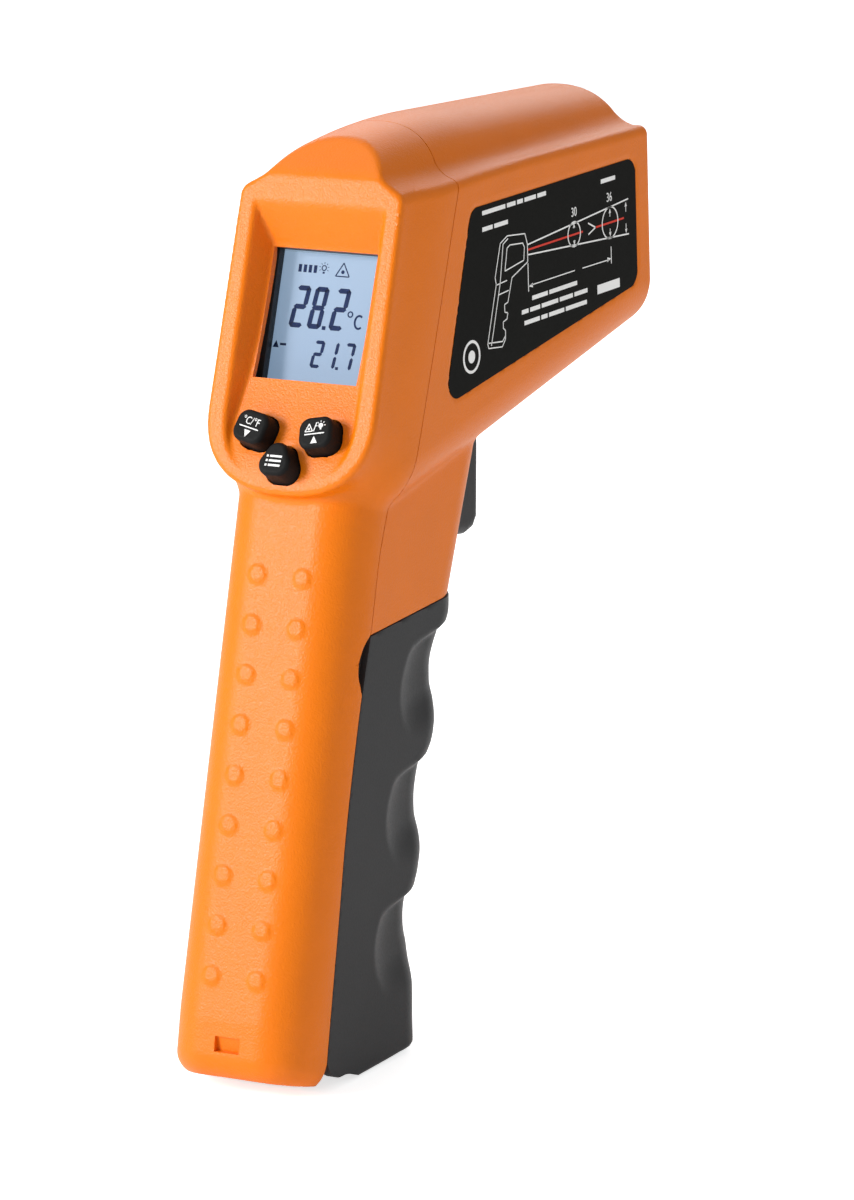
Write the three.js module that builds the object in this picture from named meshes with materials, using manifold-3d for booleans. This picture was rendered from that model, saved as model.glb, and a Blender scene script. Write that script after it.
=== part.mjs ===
// Pistol-grip infrared thermometer: two orange shell halves, a black battery door with
// finger grooves, a trigger, three rubber keys, a display and the parts inside.
// Millimetres. Origin at the centre of the grip's foot, +X right, +Y aim, +Z up.
import * as THREE from 'three';
import { mergeVertices } from 'three/addons/utils/BufferGeometryUtils.js';
import Module from 'manifold-3d';

const wasm = await Module();
wasm.setup();

// ---- driving dimensions ---------------------------------------------------------------
const WALL = 2;                 // shell thickness
const GAP = 0.3;                // clearance between neighbouring pieces
const HEAD_HALF = 17.4;         // half width of the head
const GRIP_HALF = 13.6;         // half width of the neck and grip
const FACE_HALF = 16.2;         // half width of the display face
const BELLY_R = 9;              // rounding of the head's lower long edges
const NOSE_Y = 97;              // front face of the barrel
const SHOULDER_Z = [147.4, 146.2];   // flat shoulder, at the back and at the front
const FACE_FOOT = [0, 97.7];    // (y, z) of the display face's lowest point
const FACE_LEAN = 0.3225;       // radians, display face from the vertical
const FACE_LENGTH = 52.7;       // along the face
const FACE_DEPTH = 8;           // behind the face, where the head widens
const UNDERSIDE_SLOPE = 0.202;  // rise of the barrel's underside per millimetre forward
const UNDERSIDE_AT = [41.2, 98.4];
const CREST_SLOPE = -0.05;      // fall of the dome's crest towards the nose
const FACET_SLOPE = 1.25;       // run per rise of the flat that cuts the dome's back end
const GRIP_LEAN = 0.2733;       // radians, back of the grip from the vertical
const GRIP_BACK_Y = -24;        // where the grip's back line meets the foot plane
const DOOR_TOP = 74.6;          // height of the door's top edge at DOOR_TOP_Y
const DOOR_TOP_Y = 20;
const DOOR_TOP_RISE = 0.06;     // rise of that edge per millimetre forward
const FOOT_SLANT = 0.357;       // rise of the foot per millimetre behind FOOT_SLANT_Y
const FOOT_SLANT_Y = -14.5;
const DOOR_FLOOR = 0;
const HINGE = [-8, 4.9];        // (y, z) of the battery door's hinge
const HINGE_SWEEP = 4;          // radius of the door's rounded heel about the hinge
const KNUCKLE_HALF = 8.2;       // half width of the hinge knuckle on the rear cover
const PIN_R = 1.4;              // hinge and trigger pins
const SPLIT = [[42.6, 174], [13.2, 96], [6, 75.1], [-4.3, 40.2], [-9.3, 17.8], [-14, -4]];
const PAD_LEAN = 0.5464;        // radians, button panel from the vertical
const PAD_AT = [4.3, 106.7];    // (y, z) on the panel between the two upper buttons
const PAD_DROP = 4.9;           // down the panel from there to the lower button
const BUTTON_X = 6.36;
const BUTTON_RISE = 3.7;
const WINDOW = { half: 10.2, low: 19.6, high: 42, floor: -4.2 };
const AXIS_Z = 128.5;           // axis of the infrared lens
const LASER_Z = 145.8;          // axis of the pointer laser
const NOSE_R = 12.3;            // black ring round the lens
const PIVOT = [47.5, 105.4];    // (y, z) of the trigger pivot
const WELL_WALL = 1.4;          // thickness of the display and button well
const CELL_R = 5.25;            // AAA cell
const CELL_LENGTH = 44.5;
const CELL_X = 5.6;
const CELL_FOOT = 16;           // distance up the grip to the cells' lower ends
const CELL_BACK = 5;            // of the cells' axes behind the grip's middle line
const TRAY = { half: 10.9, low: 6.6, high: 71, front: 10.6, back: 12.4 };
const LCD_FACE = -7.8;          // depth of the display's glass under the face
const BOARD_FACE = -12.3;
const SWITCH_Z = 90;

// ---- materials ------------------------------------------------------------------------
const finish = (color, roughness, metalness = 0) =>
  new THREE.MeshStandardMaterial({ color, roughness, metalness });
const ORANGE = finish(0xed7d23, 0.5);
const BLACK = finish(0x303030, 0.55);
const RUBBER = finish(0x383838, 0.75);
const LABEL = finish(0x1e1e1c, 0.4);
const CLEAR = new THREE.MeshStandardMaterial(
  { color: 0xe6eef4, roughness: 0.08, transparent: true, opacity: 0.3 });
const LCD = finish(0xa7bcd4, 0.3);
const WHITE = finish(0xe8e8e2, 0.5);
const BOARD = finish(0x1f5a36, 0.6);
const CHIP = finish(0x17181a, 0.5);
const STEEL = finish(0xb9bcc0, 0.3, 1);
const BRASS = finish(0xb59a55, 0.35, 1);
const IR_GLASS = finish(0x3a3440, 0.15, 0.3);
const RED_GLASS = finish(0x8a1c1c, 0.12);
const CELL_SKIN = finish(0x2d5f8f, 0.4, 0.3);

// ---- solids ---------------------------------------------------------------------------
function toSolid(geometry) {
  const bare = geometry.clone();
  bare.deleteAttribute('normal');
  bare.deleteAttribute('uv');
  const merged = mergeVertices(bare, 1e-4);
  return new wasm.Manifold(new wasm.Mesh({
    numProp: 3,
    vertProperties: Float32Array.from(merged.attributes.position.array),
    triVerts: Uint32Array.from(merged.index.array),
  }));
}

function toGeometry(solid) {
  const mesh = solid.getMesh();
  const geometry = new THREE.BufferGeometry();
  geometry.setAttribute('position', new THREE.BufferAttribute(mesh.vertProperties, 3));
  geometry.setIndex(new THREE.BufferAttribute(mesh.triVerts, 1));
  return geometry;
}

const join = (...solids) => solids.reduce((a, b) => a.add(b));
const cut = (solid, ...tools) => tools.reduce((a, b) => a.subtract(b), solid);
const common = (...solids) => solids.reduce((a, b) => a.intersect(b));

// A placement: local axes u, v, w (w = u x v) and an origin.
function placement(origin, u, v) {
  const w = new THREE.Vector3().crossVectors(u, v);
  return new THREE.Matrix4().makeBasis(u, v, w).setPosition(...origin);
}

const X = new THREE.Vector3(1, 0, 0);
const Y = new THREE.Vector3(0, 1, 0);
const Z = new THREE.Vector3(0, 0, 1);
const leaning = (angle) => new THREE.Vector3(0, Math.sin(angle), Math.cos(angle));

const SIDE = placement([0, 0, 0], Y, Z);                              // (y, z) outlines
const ACROSS = ([y, z]) => placement([0, y, z], Y, Z);                // +w runs along +X
const AIM = (y, z) => placement([0, y, z], X.clone().negate(), Z);    // +w runs along +Y
const FACE = placement([0, ...FACE_FOOT], X, leaning(FACE_LEAN));     // +w leaves the face
const PAD = placement([0, ...PAD_AT], X, leaning(PAD_LEAN));          // +w leaves the panel
const GRIP = placement([0, -2, 0], X, leaning(GRIP_LEAN));            // +w points backwards

function polygon(points) {
  return new THREE.Shape(points.map(([a, b]) => new THREE.Vector2(a, b)));
}

function roundedRect(halfA, halfB, radius, centre = [0, 0]) {
  const [a, b] = centre;
  const shape = new THREE.Shape();
  shape.moveTo(a - halfA + radius, b - halfB);
  shape.absarc(a + halfA - radius, b - halfB + radius, radius, -Math.PI / 2, 0);
  shape.absarc(a + halfA - radius, b + halfB - radius, radius, 0, Math.PI / 2);
  shape.absarc(a - halfA + radius, b + halfB - radius, radius, Math.PI / 2, Math.PI);
  shape.absarc(a - halfA + radius, b - halfB + radius, radius, Math.PI, 1.5 * Math.PI);
  return shape;
}

// A prism of a shape, from w = low to w = high of a placement.
function prism(shape, low, high, place, curveSegments = 5) {
  const geometry = new THREE.ExtrudeGeometry(
    shape, { depth: high - low, bevelEnabled: false, curveSegments });
  geometry.translate(0, 0, low);
  return toSolid(geometry.applyMatrix4(place));
}

function block([a0, a1], [b0, b1], [c0, c1], place) {
  return prism(polygon([[a0, b0], [a1, b0], [a1, b1], [a0, b1]]), c0, c1, place);
}

// A round bar or tube about w, centred on (a, b).
function disc(radius, low, high, place, { at = [0, 0], bore = 0, sides = 20 } = {}) {
  const ring = (r) => Array.from({ length: sides }, (_, i) => {
    const turn = (2 * Math.PI * i) / sides;
    return [at[0] + r * Math.cos(turn), at[1] + r * Math.sin(turn)];
  });
  const shape = polygon(ring(radius));
  if (bore > 0) shape.holes.push(new THREE.Path(polygon(ring(bore)).getPoints()));
  return prism(shape, low, high, place);
}

// A turned piece: profile of (radius, height) about w.
function turned(profile, place, sides = 20) {
  const geometry = new THREE.LatheGeometry(
    profile.map(([r, h]) => new THREE.Vector2(r, h)), sides);
  geometry.rotateX(Math.PI / 2);
  return toSolid(geometry.applyMatrix4(place));
}

// Moves every edge of a counter-clockwise outline inwards by a distance.
function insetOutline(points, distance) {
  const count = points.length;
  return points.map((point, i) => {
    const before = points[(i + count - 1) % count];
    const after = points[(i + 1) % count];
    const normal = (p, q) => {
      const length = Math.hypot(q[0] - p[0], q[1] - p[1]);
      return [(p[1] - q[1]) / length, (q[0] - p[0]) / length];
    };
    const [n, m] = [normal(before, point), normal(point, after)];
    const scale = distance / (1 + n[0] * m[0] + n[1] * m[1]);
    return [point[0] + (n[0] + m[0]) * scale, point[1] + (n[1] + m[1]) * scale];
  });
}

// ---- outer form -----------------------------------------------------------------------
const undersideZ = (y) => UNDERSIDE_AT[1] + UNDERSIDE_SLOPE * (y - UNDERSIDE_AT[0]);
const gripBackY = (z) => GRIP_BACK_Y + Math.tan(GRIP_LEAN) * z;
const faceY = (along) => FACE_FOOT[0] + Math.sin(FACE_LEAN) * along;
const faceZ = (along) => FACE_FOOT[1] + Math.cos(FACE_LEAN) * along;

function head(inset) {
  const side = [
    [faceY(0), faceZ(0)], [3.2, 91], [18, undersideZ(18)], [NOSE_Y, undersideZ(NOSE_Y)],
    [NOSE_Y, SHOULDER_Z[1]], [faceY(FACE_LENGTH), SHOULDER_Z[0]],
  ];
  const half = HEAD_HALF - inset;
  const round = BELLY_R - inset;
  const section = new THREE.Shape();
  section.moveTo(half, 90);
  section.lineTo(-half, 90);
  section.lineTo(-half, round + inset);
  section.absarc(-half + round, round + inset, round, Math.PI, 1.5 * Math.PI);
  section.absarc(half - round, round + inset, round, 1.5 * Math.PI, 2 * Math.PI);
  const along = Math.atan(UNDERSIDE_SLOPE);
  const up = new THREE.Vector3(0, -Math.sin(along), Math.cos(along));
  const barrel = placement([0, ...UNDERSIDE_AT], X.clone().negate(), up);
  const core = common(
    prism(polygon(insetOutline(side, inset)), -half, half, SIDE),
    prism(section, -90, 120, barrel),
  );
  const nearFace = block([-40, 40], [-40, 80], [-FACE_DEPTH - inset, 10], FACE);
  return join(cut(core, nearFace), common(core, prism(faceOutline(inset), -30, 0, FACE, 10)));
}

function faceOutline(inset) {
  const half = FACE_HALF - inset;
  const corner = 2.5;
  const shape = new THREE.Shape();
  shape.moveTo(half, 14);
  shape.lineTo(half - 0.5, FACE_LENGTH - inset - corner);
  shape.lineTo(half - 0.5 - corner, FACE_LENGTH - inset);
  shape.lineTo(-half + 0.5 + corner, FACE_LENGTH - inset);
  shape.lineTo(-half + 0.5, FACE_LENGTH - inset - corner);
  shape.lineTo(-half, 14);
  shape.absellipse(0, 14, half, 14 - inset, Math.PI, 2 * Math.PI, false);
  return shape;
}

function dome(inset) {
  const section = [
    [0, 9], [4, 8.5], [8, 6.7], [10.6, 4], [12.2, 1.5], [13.4, -0.4], [13.4, -6],
  ];
  const mirror = section.slice(1).reverse().map(([x, z]) => [-x, z]);
  const outline = insetOutline([...section, ...mirror].reverse(), inset);
  const crest = Math.atan(-CREST_SLOPE);
  const place = placement([0, 36, 147.4], X.clone().negate(),
    new THREE.Vector3(0, Math.sin(crest), Math.cos(crest)));
  const facet = [
    [faceY(FACE_LENGTH) - 2, SHOULDER_Z[0] - 6], [NOSE_Y - inset, 130], [NOSE_Y - inset, 170],
    [faceY(FACE_LENGTH) + 22 * FACET_SLOPE, SHOULDER_Z[0] + 22],
    [faceY(FACE_LENGTH), SHOULDER_Z[0]],
  ];
  return common(
    prism(polygon(outline), -40, 80, place),
    prism(polygon(insetOutline(facet, inset)), -20, 20, SIDE),
  );
}

// A long bar that follows a leaning line at (y, z), with its two edges there rounded.
// It faces forwards (1) or backwards (-1).
function roundedRunner(half, radius, [y, z], lean, facing) {
  const shape = new THREE.Shape();
  shape.moveTo(half, -60);
  shape.lineTo(half, -radius);
  shape.absarc(half - radius, -radius, radius, 0, Math.PI / 2);
  shape.absarc(-half + radius, -radius, radius, Math.PI / 2, Math.PI);
  shape.lineTo(-half, -60);
  const out = new THREE.Vector3().crossVectors(leaning(lean), X).multiplyScalar(facing);
  return prism(shape, -160, 160, placement([0, y, z], X.clone().multiplyScalar(facing), out));
}

function grip(inset, front, low, high) {
  const side = [
    [gripBackY(low), low], ...front, [gripBackY(high), high],
  ];
  const half = GRIP_HALF - inset;
  return common(
    prism(polygon(insetOutline(side, inset)), -half, half, SIDE),
    roundedRunner(half, 9 - inset, [GRIP_BACK_Y + inset / Math.cos(GRIP_LEAN), 0], GRIP_LEAN, -1),
  );
}

const GRIP_FRONT = [[19, 0], [22.6, 4.4], [31.8, 53], [36.4, DOOR_TOP], [47.2, 100]];
const neckAndGrip = (inset) => grip(inset, GRIP_FRONT, 0, 106);
const DOOR_FRONT = [[19, DOOR_FLOOR], [22.1, 4.4], [22.1, 7], [21, 12], [24.2, 29.2],
  [25.5, 35.7], [29.2, 49.7], [31, 57], [36, 71], [36.5, DOOR_TOP + 1]];
const neckRounding = (inset) => roundedRunner(GRIP_HALF - inset, 8 - inset,
  [36.4 - inset * 1.08, DOOR_TOP], 0.392, 1);
const doorRounding = () => roundedRunner(GRIP_HALF, 8, [22, 4.4], 0.2, 1);

// Everything behind the parting line, moved backwards by a distance.
function behindSplit(shift) {
  const line = SPLIT.map(([y, z]) => [y - shift, z]);
  return prism(polygon([...line, [-60, -4], [-60, 174]].reverse()), -40, 40, SIDE);
}

function belowDoorTop(shift) {
  const top = (y) => DOOR_TOP + shift + DOOR_TOP_RISE * (y - DOOR_TOP_Y);
  return prism(polygon([[-60, -20], [80, -20], [80, top(80)], [-60, top(-60)]]), -40, 40, SIDE);
}

// ---- shell halves and door ------------------------------------------------------------
function outerForm() {
  const face = prism(faceOutline(0), -6, 0, FACE, 10);
  return join(head(0), dome(0), face, neckAndGrip(0));
}

function innerForm() {
  return join(head(WALL), dome(WALL), common(neckAndGrip(WALL), neckRounding(WALL)));
}

const outer = outerForm();
const inner = innerForm();
const shell = cut(outer, inner);

// The sunken display and button well, enlarged all round by a distance.
function well(grow) {
  const { half, low, high, floor } = WINDOW;
  const padTop = floor + 0.75;
  const side = [[1, 50 + grow], [-0.2, 49 + grow], [floor - grow, high + 0.6 + grow],
    [padTop - grow, low], [0.2 - grow, 3.6], [1, 3.4]];
  const place = placement([0, ...FACE_FOOT], new THREE.Vector3(0, -Math.cos(FACE_LEAN),
    Math.sin(FACE_LEAN)), leaning(FACE_LEAN));
  const profile = prism(polygon(side.reverse()), -half - 3 - grow, half + 3 + grow, place);
  const plan = prism(roundedRect(12.8 + grow, 24 + grow, 6, [0, 26]), -20, 2, FACE);
  return common(profile, plan);
}

const windowOpening = () => block([-WINDOW.half, WINDOW.half], [WINDOW.low, WINDOW.high],
  [-9, 2], FACE);

const BUTTONS = [
  { name: 'button_left', at: [-BUTTON_X, 0], half: [3.1, 2.8] },
  { name: 'button_right', at: [BUTTON_X, 0], half: [3.1, 2.8] },
  { name: 'button_mode', at: [0, -PAD_DROP], half: [2.8, 2.9] },
];

const buttonBar = ({ at, half }, low, high, grow = 0) =>
  prism(roundedRect(half[0] + grow, half[1] + grow, 1.6, at), low, high, PAD);

// Slot in the back of the grip and the notch in the foot: a cord loops round the bar between.
function lanyardSlot() {
  return join(
    block([-30, -18], [6.8, 9.4], [-2.45, 2.45], SIDE),
    block([-20.6, -15], [-1, 2.6], [-3, 3], SIDE),
  );
}

// Everything below the foot's slanted rear end.
function underFoot() {
  const rear = -40;
  return prism(polygon([[rear, -10], [FOOT_SLANT_Y, -10], [FOOT_SLANT_Y, 0],
    [rear, FOOT_SLANT * (FOOT_SLANT_Y - rear)]]), -40, 40, SIDE);
}

function hingeKnuckle() {
  const [y, z] = HINGE;
  const tongues = [-1, 1].map((side) => join(
    block([y - 0.5, y - 6.5].reverse(), [z - 2.3, z + 1], [side * 5.9 - 2.3, side * 5.9 + 2.3], SIDE),
    block([-20, y - 5.6], [1, z + 1], [side * 5.9 - 2.3, side * 5.9 + 2.3], SIDE),
  ));
  return join(disc(2.4, -KNUCKLE_HALF, KNUCKLE_HALF, ACROSS(HINGE)), ...tongues);
}

// Bosses from the back of the grip that take the case screws.
const SCREW_UP = [9.2, 68.4];
const caseBosses = () => SCREW_UP.map((up) => common(outer,
  disc(3, TRAY.back + 0.3, 24, GRIP, { at: [0, up], sides: 12 })));
const caseScrewHoles = () => SCREW_UP.map((up) =>
  disc(1.5, TRAY.back - 2, 18.4, GRIP, { at: [0, up], sides: 12 }));

function rearCover() {
  const half = common(shell, behindSplit(GAP / 2));
  const tub = common(well(WELL_WALL), outer, behindSplit(GAP / 2));
  const rows = Array.from({ length: 9 }, (_, row) => 83.9 - 8.12 * row);
  const dots = rows.flatMap((z) => [-4.4, 4.4].map((x) => {
    const place = placement([x, gripBackY(z), z], X, leaning(GRIP_LEAN));
    return disc(1.65, -1, 0.4, place, { sides: 8 });
  }));
  const holes = BUTTONS.map((button) => buttonBar(button, -8, 6, 0.35));
  const body = join(half, tub, hingeKnuckle(), ...dots, ...caseBosses());
  const pin = disc(PIN_R + 0.25, -20, 20, ACROSS(HINGE), { sides: 16 });
  return cut(body, well(0), windowOpening(), ...holes, ...caseScrewHoles(), pin, lanyardSlot(),
    underFoot());
}

const LABEL_CORNERS = [[25.5, 109.2], [91.9, 118.9], [91.9, 141.4], [35.7, 141.4]];

function labelShape(inset) {
  const outline = insetOutline(LABEL_CORNERS, inset);
  const radius = 3 - inset;
  const shape = new THREE.Shape();
  outline.forEach((corner, i) => {
    const before = outline[(i + 3) % 4];
    const after = outline[(i + 1) % 4];
    const step = (to) => {
      const length = Math.hypot(to[0] - corner[0], to[1] - corner[1]);
      return [corner[0] + ((to[0] - corner[0]) * radius) / length,
        corner[1] + ((to[1] - corner[1]) * radius) / length];
    };
    const enter = step(before);
    if (i === 0) shape.moveTo(...enter);
    else shape.lineTo(...enter);
    shape.quadraticCurveTo(...corner, ...step(after));
  });
  return shape;
}

const labelPlate = (inset, side, low, high) => side > 0
  ? prism(labelShape(inset), HEAD_HALF + low, HEAD_HALF + high, SIDE, 4)
  : prism(labelShape(inset), -HEAD_HALF - high, -HEAD_HALF - low, SIDE, 4);

const triggerSlot = () => block([36, 57.6], [80.4, 103.2], [-6.6, 6.6], SIDE);

function pivotBosses() {
  return [[-16.5, -8.4], [8.4, 16.5]].map(([low, high]) => common(outer,
    disc(3.2, low, high, ACROSS(PIVOT), { sides: 16 })));
}

function frontHousing() {
  const rounded = join(
    common(shell, block([-60, 120], [99, 180], [-40, 40], SIDE)),
    common(shell, neckRounding(0), block([-60, 120], [-20, 99.01], [-40, 40], SIDE)),
  );
  const half = cut(rounded, behindSplit(-GAP / 2), belowDoorTop(GAP / 2));
  const nose = disc(NOSE_R + 0.3, -6, 6, AIM(NOSE_Y, AXIS_Z), { sides: 32 });
  const laser = disc(3.4, -6, 6, AIM(NOSE_Y, LASER_Z));
  const seats = [-1, 1].map((side) => labelPlate(0, side, -0.8, 1));
  const pin = disc(PIN_R + 0.25, -15, 15, ACROSS(PIVOT), { sides: 16 });
  return cut(join(half, ...pivotBosses()), triggerSlot(), nose, laser, pin, ...seats);
}

const GROOVES = [[29.6, 63.2], [23.6, 42.4], [18.8, 21.5]];   // (y, z) of their deepest points

function batteryDoor() {
  const form = common(grip(0, DOOR_FRONT, 0, 106), doorRounding());
  const hollow = grip(WALL, [[17.6, DOOR_FLOOR], [18.2, 21], [28.6, 64], [31.8, 112]], DOOR_FLOOR, 112);
  const heel = join(
    block([-60, 80], [HINGE[1] + 2.6, 100], [-40, 40], SIDE),
    block([HINGE[0] + 0.9, 80], [-20, 100], [-40, 40], SIDE),
    disc(HINGE_SWEEP, -40, 40, ACROSS(HINGE), { sides: 32 }),
  );
  const fingers = GROOVES.map(([y, z]) => disc(1, -40, 40,
    ACROSS([y + 6, z]).scale(new THREE.Vector3(6, 7, 1)), { sides: 20 }));
  const pin = disc(PIN_R + 0.25, -13.1, 13.1, ACROSS(HINGE), { sides: 16 });
  const hub = disc(3.4, -13, 13, ACROSS(HINGE), { sides: 20 });
  const middle = block([-40, -4.4], [-20, 9], [-KNUCKLE_HALF - 0.4, KNUCKLE_HALF + 0.4], SIDE);
  const wall = cut(form, hollow, behindSplit(-GAP / 2), ...fingers);
  const trimmed = common(wall, heel, belowDoorTop(-GAP / 2),
    block([-60, 80], [DOOR_FLOOR, 100], [-40, 40], SIDE));
  return cut(join(trimmed, hub), middle, pin);
}

// ---- trigger and its switch -----------------------------------------------------------
function trigger() {
  const [y, z] = PIVOT;
  const blade = polygon([[y - 3.2, z - 2], [y - 3.2, z + 1.2], [y - 1.2, z + 3.2],
    [y + 1.2, z + 3.2], [y + 3.6, z + 1.6], [55.2, 101.4], [55.6, 96], [55.3, 86],
    [54, 82.9], [51.2, 81.6], [44.5, 82.4], [41.3, 84.4], [40.3, 88], [40.3, 93], [41.2, 99]]);
  const bore = disc(PIN_R + 0.25, -10, 10, ACROSS(PIVOT), { sides: 16 });
  return cut(prism(blade, -6, 6, SIDE), bore);
}

const pivotPin = () => disc(PIN_R, -13.6, 13.6, ACROSS(PIVOT), { sides: 16 });
const triggerSpring = () => disc(3, 6.3, 8.1, ACROSS(PIVOT), { bore: 1.9, sides: 16 });

function triggerSwitch() {
  const body = block([28, 36], [SWITCH_Z - 3.5, SWITCH_Z + 3.5], [-3.5, 3.5], SIDE);
  return cut(body, disc(1.5, 32, 37, AIM(0, SWITCH_Z), { sides: 12 }));
}

const switchPlunger = () => disc(1.2, 34.9, 40, AIM(0, SWITCH_Z), { sides: 12 });

// ---- display, keys and boards ---------------------------------------------------------
function displayFrame() {
  const { half, low, high } = WINDOW;
  const rim = block([-half - 2.4, half + 2.4], [low - 3, high + 2.6], [LCD_FACE - 2, -5.9], FACE);
  const sight = block([-half, half], [low, high], [-20, 0], FACE);
  const pocket = block([-half - 0.8, half + 0.8], [low - 1.4, high + 1.3], [-20, LCD_FACE + 0.3], FACE);
  return cut(rim, sight, pocket);
}

function displayWindow() {
  const { half, low, high } = WINDOW;
  return block([-half + 0.3, half - 0.3], [low + 0.3, high - 0.3], [-7, -6.1], FACE);
}

const lcdPanel = () => block([-10.7, 10.7], [18.5, 43], [LCD_FACE - 1.8, LCD_FACE], FACE);
const backlight = () => block([-10.7, 10.7], [21, 43], [BOARD_FACE + 0.3, -9.9], FACE);
const connectorStrip = () => block([-10, 10], [18.7, 20.6], [BOARD_FACE + 0.3, -9.9], FACE);
const BOARD_SCREWS = [[-11.6, 47], [11.6, 47]];

function mainBoard() {
  const plate = block([-13.8, 13.8], [17, 49.6], [BOARD_FACE - 1.6, BOARD_FACE], FACE);
  return cut(plate, ...BOARD_SCREWS.map((at) => disc(1.3, -20, 0, FACE, { at, sides: 12 })));
}

const controllerChip = () => block([-5, 5], [26, 36], [BOARD_FACE - 3.4, BOARD_FACE - 1.9], FACE);

function boardScrew(at) {
  const low = BOARD_FACE - 3.4;
  return join(disc(2.1, low, low + 1.5, FACE, { at, sides: 12 }),
    disc(1, low + 1, BOARD_FACE + 2.4, FACE, { at, sides: 12 }));
}

function keyButton(button) {
  return buttonBar(button, -5.6, BUTTON_RISE);
}

const keypadShape = (half, corner) => roundedRect(half, 6.8, corner, [0, -2.3]);

function keypadWeb() {
  const holes = BUTTONS.map((button) => buttonBar(button, -8, 6, 0.35));
  const sheet = prism(keypadShape(10.8, 6), -4.4, -3.3, PAD);
  const clear = prism(faceOutline(WALL + 2 * GAP), -30, 0, FACE, 10);
  return cut(common(sheet, clear), ...holes);
}

const keypadBoard = () => prism(keypadShape(9.6, 5), -8.6, -7.4, PAD);
const keyContact = ({ at }) => disc(2, -7.1, -6.7, PAD, { at, sides: 12 });

// ---- barrel ---------------------------------------------------------------------------
const barrel = (z) => AIM(NOSE_Y, z);

function noseRing() {
  const profile = [[5.5, -8], [NOSE_R, -8], [NOSE_R, 0.5], [NOSE_R - 0.8, 1], [9.8, 1],
    [7.4, -4.4], [5.5, -4.4], [5.5, -8]];
  return turned(profile, barrel(AXIS_Z), 28);
}

function infraredLens() {
  const profile = [[0, -10.6], [7, -10.6], [7, -9.4], [4, -8.9], [0, -8.7]];
  return turned(profile, barrel(AXIS_Z), 24);
}

const lensTube = () => disc(9, -38, -8.3, barrel(AXIS_Z), { bore: 7.3, sides: 24 });
const infraredSensor = () => disc(4.2, -37.8, -33, barrel(AXIS_Z), { sides: 16 });
const sensorBoard = () => block([-11, 11], [-10, 10], [-40, -38.4], barrel(AXIS_Z));
const laserWindow = () => disc(3.1, -1.6, -0.4, barrel(LASER_Z), { sides: 20 });
const laserModule = () => disc(3, -24, -4, barrel(LASER_Z), { sides: 16 });

function laserClip() {
  const saddle = block([-5, 5], [-4.4, 3.7], [-18, -12], barrel(LASER_Z));
  return cut(saddle, disc(3.3, -30, 0, barrel(LASER_Z), { sides: 16 }));
}

function buzzer() {
  const place = placement([0, 76, 110.4], X, Y);
  return disc(5.5, 0, 3.4, place, { bore: 1, sides: 20 });
}

// ---- cells ----------------------------------------------------------------------------
function cell(side) {
  const foot = CELL_FOOT;
  const top = foot + CELL_LENGTH;
  const [canLow, canHigh, tipLow, tipHigh] = side > 0
    ? [foot, top - 0.9, top - 1.2, top] : [foot + 0.9, top, foot, foot + 1.2];
  const place = upTheGrip(side * CELL_X, CELL_BACK);
  return join(disc(CELL_R, canLow, canHigh, place), disc(1.9, tipLow, tipHigh, place));
}

// +w runs up the grip, at a distance across and behind its middle line.
function upTheGrip(across, behind) {
  const up = leaning(GRIP_LEAN);
  const back = new THREE.Vector3().crossVectors(X, up);
  const at = back.multiplyScalar(behind);
  return placement([across, at.y - 2, at.z], X, new THREE.Vector3().crossVectors(up, X));
}

function batteryTray() {
  const { half, low, high, front, back } = TRAY;
  const top = CELL_FOOT + CELL_LENGTH;
  const plate = block([-half, half], [12.2, top + 4.6], [front, back], GRIP);
  const lugs = block([-4, 4], [low, high], [front, back], GRIP);
  const ends = [[12.2, 13.6], [top + 3, top + 4.6]].map((span) =>
    block([-half, half], span, [-0.6, back], GRIP));
  const holes = SCREW_UP.map((up) => disc(1.5, 0, 20, GRIP, { at: [0, up], sides: 12 }));
  return cut(join(plate, lugs, ...ends), ...holes);
}

function caseScrew(up) {
  const at = [0, up];
  return join(disc(2.4, TRAY.front - 1.9, TRAY.front - 0.3, GRIP, { at, sides: 12 }),
    disc(1.2, TRAY.front - 1, 18, GRIP, { at, sides: 12 }));
}

function cellSpring(side) {
  const profile = [[0, 13.9], [3.8, 13.9], [3.8, 14.5], [2.2, 15.7], [0, 15.7]];
  return turned(profile, upTheGrip(side * CELL_X, CELL_BACK), 14);
}

function contactBridge() {
  const top = CELL_FOOT + CELL_LENGTH;
  return block([-10, 10], [top + 0.3, top + 1], [1, 9], GRIP);
}

const hingePin = () => disc(PIN_R, -12.8, 12.8, ACROSS(HINGE), { sides: 16 });

function lead(across) {
  const path = new THREE.CatmullRomCurve3([
    new THREE.Vector3(across, 6, 66), new THREE.Vector3(across, 9.5, 80),
    new THREE.Vector3(across, 15, 95), new THREE.Vector3(across, 20.4, 107.6),
  ]);
  const round = new THREE.Shape().absarc(0, 0, 0.6, 0, 2 * Math.PI);
  return toSolid(new THREE.ExtrudeGeometry(round,
    { extrudePath: path, steps: 14, curveSegments: 4, bevelEnabled: false }));
}

// ---- assembly -------------------------------------------------------------------------
const thermometer = new THREE.Group();

function addNode(name, solid, material) {
  const mesh = new THREE.Mesh(toGeometry(solid), material);
  mesh.name = name;
  thermometer.add(mesh);
}

function addCase() {
  addNode('rear_cover', rearCover(), ORANGE);
  addNode('front_housing', frontHousing(), ORANGE);
  addNode('battery_door', batteryDoor(), BLACK);
  addNode('side_label_right', labelPlate(0.3, 1, -0.4, 0.1), LABEL);
  addNode('side_label_left', labelPlate(0.3, -1, -0.4, 0.1), LABEL);
  addNode('door_hinge_pin', hingePin(), STEEL);
}

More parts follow.
